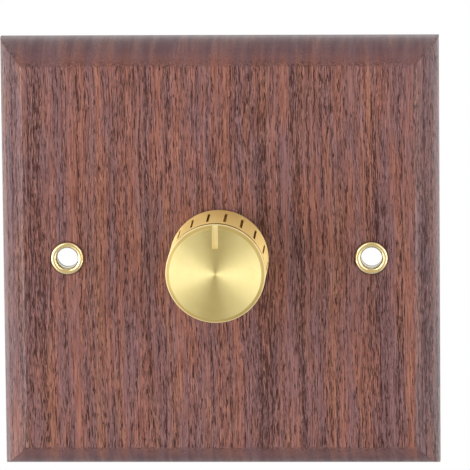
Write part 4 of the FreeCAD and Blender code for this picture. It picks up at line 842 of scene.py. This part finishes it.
def moulding(name, light, dark, roughness):
    """Plastic with a moulded skin, its colour drifting from light to dark as it flowed."""
    material, tree, shader = new_material(name)
    place = millimetres(tree)
    skin = place_group(tree, moulded_skin, place, SKIN_SCALE)
    worn = place_group(tree, handling, place, MOULDED_PATCH_SCALE)["Mask"]
    glossy, dull = roughness - MOULDED_PATCH_ROUGHNESS, roughness + MOULDED_PATCH_ROUGHNESS
    connect(tree, shader, Base_Color=blend_colours(tree, skin["Shade"], light, dark),
            Roughness=between(tree, worn, 0, 1, glossy, dull),
            Normal=bump(tree, skin["Height"], SKIN_DEPTH, SKIN_BUMP), IOR=MOULDED_IOR)
    return material


print("group:", moulded_skin.name)

# %% [markdown]
# Plated, drawn and pressed metal has no lathe lines. A faint mottle of its crystals tilts the
# light, and handled patches are darker and duller.

# %% Plated metal
SPANGLE_SCALE, SPANGLE_DETAIL, SPANGLE_DEPTH, SPANGLE_BUMP = 2.5, 4.0, 0.01, 0.25
PLATED_PATCH_SCALE, PLATED_PATCH_ROUGHNESS, DRAWN_ROUGHNESS = 0.5, 0.12, 0.25


def plated(name, light, dark, roughness):
    """Bright metal that is darker and duller in handled patches."""
    material, tree, shader = new_material(name)
    place = millimetres(tree)
    worn = place_group(tree, handling, place, PLATED_PATCH_SCALE)["Mask"]
    spangle = noise(tree, place, SPANGLE_SCALE, SPANGLE_DETAIL)
    connect(tree, shader, Base_Color=blend_colours(tree, worn, light, dark), Metallic=1.0,
            Roughness=between(tree, worn, 0, 1, roughness, roughness + PLATED_PATCH_ROUGHNESS),
            Normal=bump(tree, spangle, SPANGLE_DEPTH, SPANGLE_BUMP))
    return material


drawn_brass = plated("drawn_brass", BRASS_LIGHT, BRASS_DEEP, DRAWN_ROUGHNESS)
print("metal:", drawn_brass.name)

# %% [markdown]
# Every solid that stays gets the finish of its material slot, and the record says which slot each
# solid has. The tables below give each finish its light colour, its dark colour and its roughness.

# %% Finishes
MOULDED_LOOKS = {
    "black_moulding": ((0.030, 0.030, 0.032), (0.042, 0.042, 0.045), 0.45),
    "white_moulding": ((0.80, 0.79, 0.75), (0.72, 0.71, 0.67), 0.45),
    "grey_moulding": ((0.40, 0.42, 0.44), (0.34, 0.36, 0.38), 0.42),
    "phenolic": ((0.20, 0.095, 0.035), (0.13, 0.06, 0.025), 0.5),
    "circuit_green": ((0.020, 0.16, 0.055), (0.015, 0.12, 0.045), 0.3),
    "epoxy_black": ((0.022, 0.022, 0.024), (0.034, 0.034, 0.036), 0.5),
    "powder_core": ((0.55, 0.42, 0.07), (0.42, 0.31, 0.05), 0.4),
    "yellow_film": ((0.72, 0.52, 0.06), (0.62, 0.43, 0.05), 0.35),
    "resistor_coat": ((0.50, 0.38, 0.22), (0.42, 0.31, 0.18), 0.4),
    "blue_glass": ((0.06, 0.13, 0.42), (0.04, 0.09, 0.30), 0.2),
}
PLATED_LOOKS = {
    "zinc_plate": ((0.74, 0.74, 0.73), (0.58, 0.58, 0.58), 0.3),
    "steel": ((0.62, 0.63, 0.65), (0.45, 0.46, 0.48), 0.32),
    "tinned_copper": ((0.72, 0.70, 0.66), (0.60, 0.57, 0.52), 0.3),
    "bare_aluminium": ((0.78, 0.79, 0.80), (0.66, 0.67, 0.68), 0.35),
    "enamelled_copper": ((0.62, 0.26, 0.10), (0.45, 0.17, 0.06), 0.22),
}

finishes = {"walnut": walnut, "gold_aluminium": gold, "polished_brass": drawn_brass}
finishes.update({slot: moulding(slot, *look) for slot, look in MOULDED_LOOKS.items()})
finishes.update({slot: plated(slot, *look) for slot, look in PLATED_LOOKS.items()})
for subpart in frame["record"]["subparts"]:
    solid = frame["nodes"][subpart["node"]]
    solid.data.materials.clear()
    solid.data.materials.append(finishes[subpart["material_slot"]])

# %% [markdown]
# The studio is a white room with a pale floor below. The floor fades out a little way from the
# object, so that it has no edge against the white background.

# %% Studio: floor
FLOOR_DROP, FLOOR_REACH, FLOOR_FADE = 60, 420, (120, 260)
FLOOR_COLOUR, FLOOR_ROUGHNESS = (0.90, 0.90, 0.90), 0.9

floor_points = FLOOR_REACH * np.array([[-1, -1], [1, -1], [1, 1], [-1, 1]])
floor_points = np.column_stack([floor_points, np.full(4, plate_low[2] - FLOOR_DROP)])
floor_mesh = bpy.data.meshes.new("floor")
floor_mesh.from_pydata((floor_points * MM).tolist(), [], [(0, 1, 2, 3)])
floor_material, tree, shader = new_material("floor")
connect(tree, shader, Base_Color=FLOOR_COLOUR, Roughness=FLOOR_ROUGHNESS)
faded = between(tree, length_of(tree, millimetres(tree)), *FLOOR_FADE)
clear = put(tree, "ShaderNodeBsdfTransparent")
shader_mix = put(tree, "ShaderNodeMixShader", Fac=faded)
for socket, kind in zip(shader_mix.inputs[1:], (shader, clear)):
    fill(tree, socket, kind.outputs[0])
connect(tree, tree.nodes["Material Output"], Surface=shader_mix.outputs[0])
floor_mesh.materials.append(floor_material)
floor = bpy.data.objects.new("floor", floor_mesh)
bpy.context.collection.objects.link(floor)
print("floor:", FLOOR_DROP, "mm below the plate")

# %% [markdown]
# The background is white where the camera or a mirror sees it, but gives the object only a gentle
# light, less from above and below, so that colours come out about as they are written. A mirror
# that looks back past the camera sees the front of the room, which is dimmer and warmer there. That
# gives the gold its depth.

# %% Studio: room
ROOM_LIGHT, ROOM_ABOVE, ABOVE_RANGE = 0.29, 0.35, (0.35, 0.95)
ROOM_FRONT, FRONT_RANGE = 0.62, (-0.45, 0.05)
ROOM_COLOUR, ROOM_FRONT_COLOUR = (1.0, 1.0, 1.0), (1.0, 0.82, 0.52)

world = bpy.data.worlds.new("studio")
bpy.context.scene.world = world
world.use_nodes = True
tree = world.node_tree
tree.nodes.clear()
parts = parts_of(tree, put(tree, "ShaderNodeTexCoord").outputs["Generated"])
rays = put(tree, "ShaderNodeLightPath").outputs
mirror = reckon(tree, "MAXIMUM", rays["Is Glossy Ray"], rays["Is Transmission Ray"])
mirrored = reckon(tree, "MULTIPLY", mirror, between(tree, parts["Y"], *FRONT_RANGE, ROOM_FRONT, 1.0))
upright = reckon(tree, "ABSOLUTE", parts["Z"])
ambient = between(tree, upright, *ABOVE_RANGE, ROOM_LIGHT, ROOM_LIGHT * ROOM_ABOVE)
level = reckon(tree, "MAXIMUM", rays["Is Camera Ray"], mirrored)
level = reckon(tree, "MAXIMUM", level, ambient)
facing = between(tree, parts["Y"], *FRONT_RANGE, 1.0, 0.0)
to_front = reckon(tree, "MULTIPLY", facing, rays["Is Glossy Ray"])
colour = blend_colours(tree, to_front, ROOM_COLOUR, ROOM_FRONT_COLOUR)
background = put(tree, "ShaderNodeBackground", Strength=level, Color=colour)
put(tree, "ShaderNodeOutputWorld", Surface=background.outputs[0])
print("room:", world.name)

# %% [markdown]
# A tall soft box stands on each side of the camera, the left one stronger, as in the picture. A
# smaller box on each side, further round, lights the moulded edges, and a weak one hangs above.

# %% Studio: lamps
# A soft box has a place, a width and a height in millimetres, and its power in watts.
SOFT_BOXES = {
    "left_soft_box": ((-430, -560, 40), 420, 1900, 4.05),
    "right_soft_box": ((430, -560, 20), 260, 1900, 2.8),
    "left_side_box": ((-641, -286, 0), 360, 700, 3.0),
    "right_side_box": ((641, -286, 0), 360, 700, 1.9),
    "upper_soft_box": ((-60, 160, 900), 600, 600, 0.5),
}


def soft_box(name, place, width, height, power):
    """A rectangle of even light that faces the middle of the plate."""
    lamp = bpy.data.lights.new(name, "AREA")
    lamp.shape, lamp.size, lamp.size_y, lamp.energy = "RECTANGLE", width * MM, height * MM, power
    holder = bpy.data.objects.new(name, lamp)
    bpy.context.collection.objects.link(holder)
    holder.rotation_mode = "QUATERNION"
    holder.rotation_quaternion = Vector(place).to_track_quat("Z", "Y")
    holder.location = Vector(place) * MM


for name, values in SOFT_BOXES.items():
    soft_box(name, *values)
bpy.context.scene.view_settings.view_transform = "Standard"
print("lamps:", len(SOFT_BOXES))
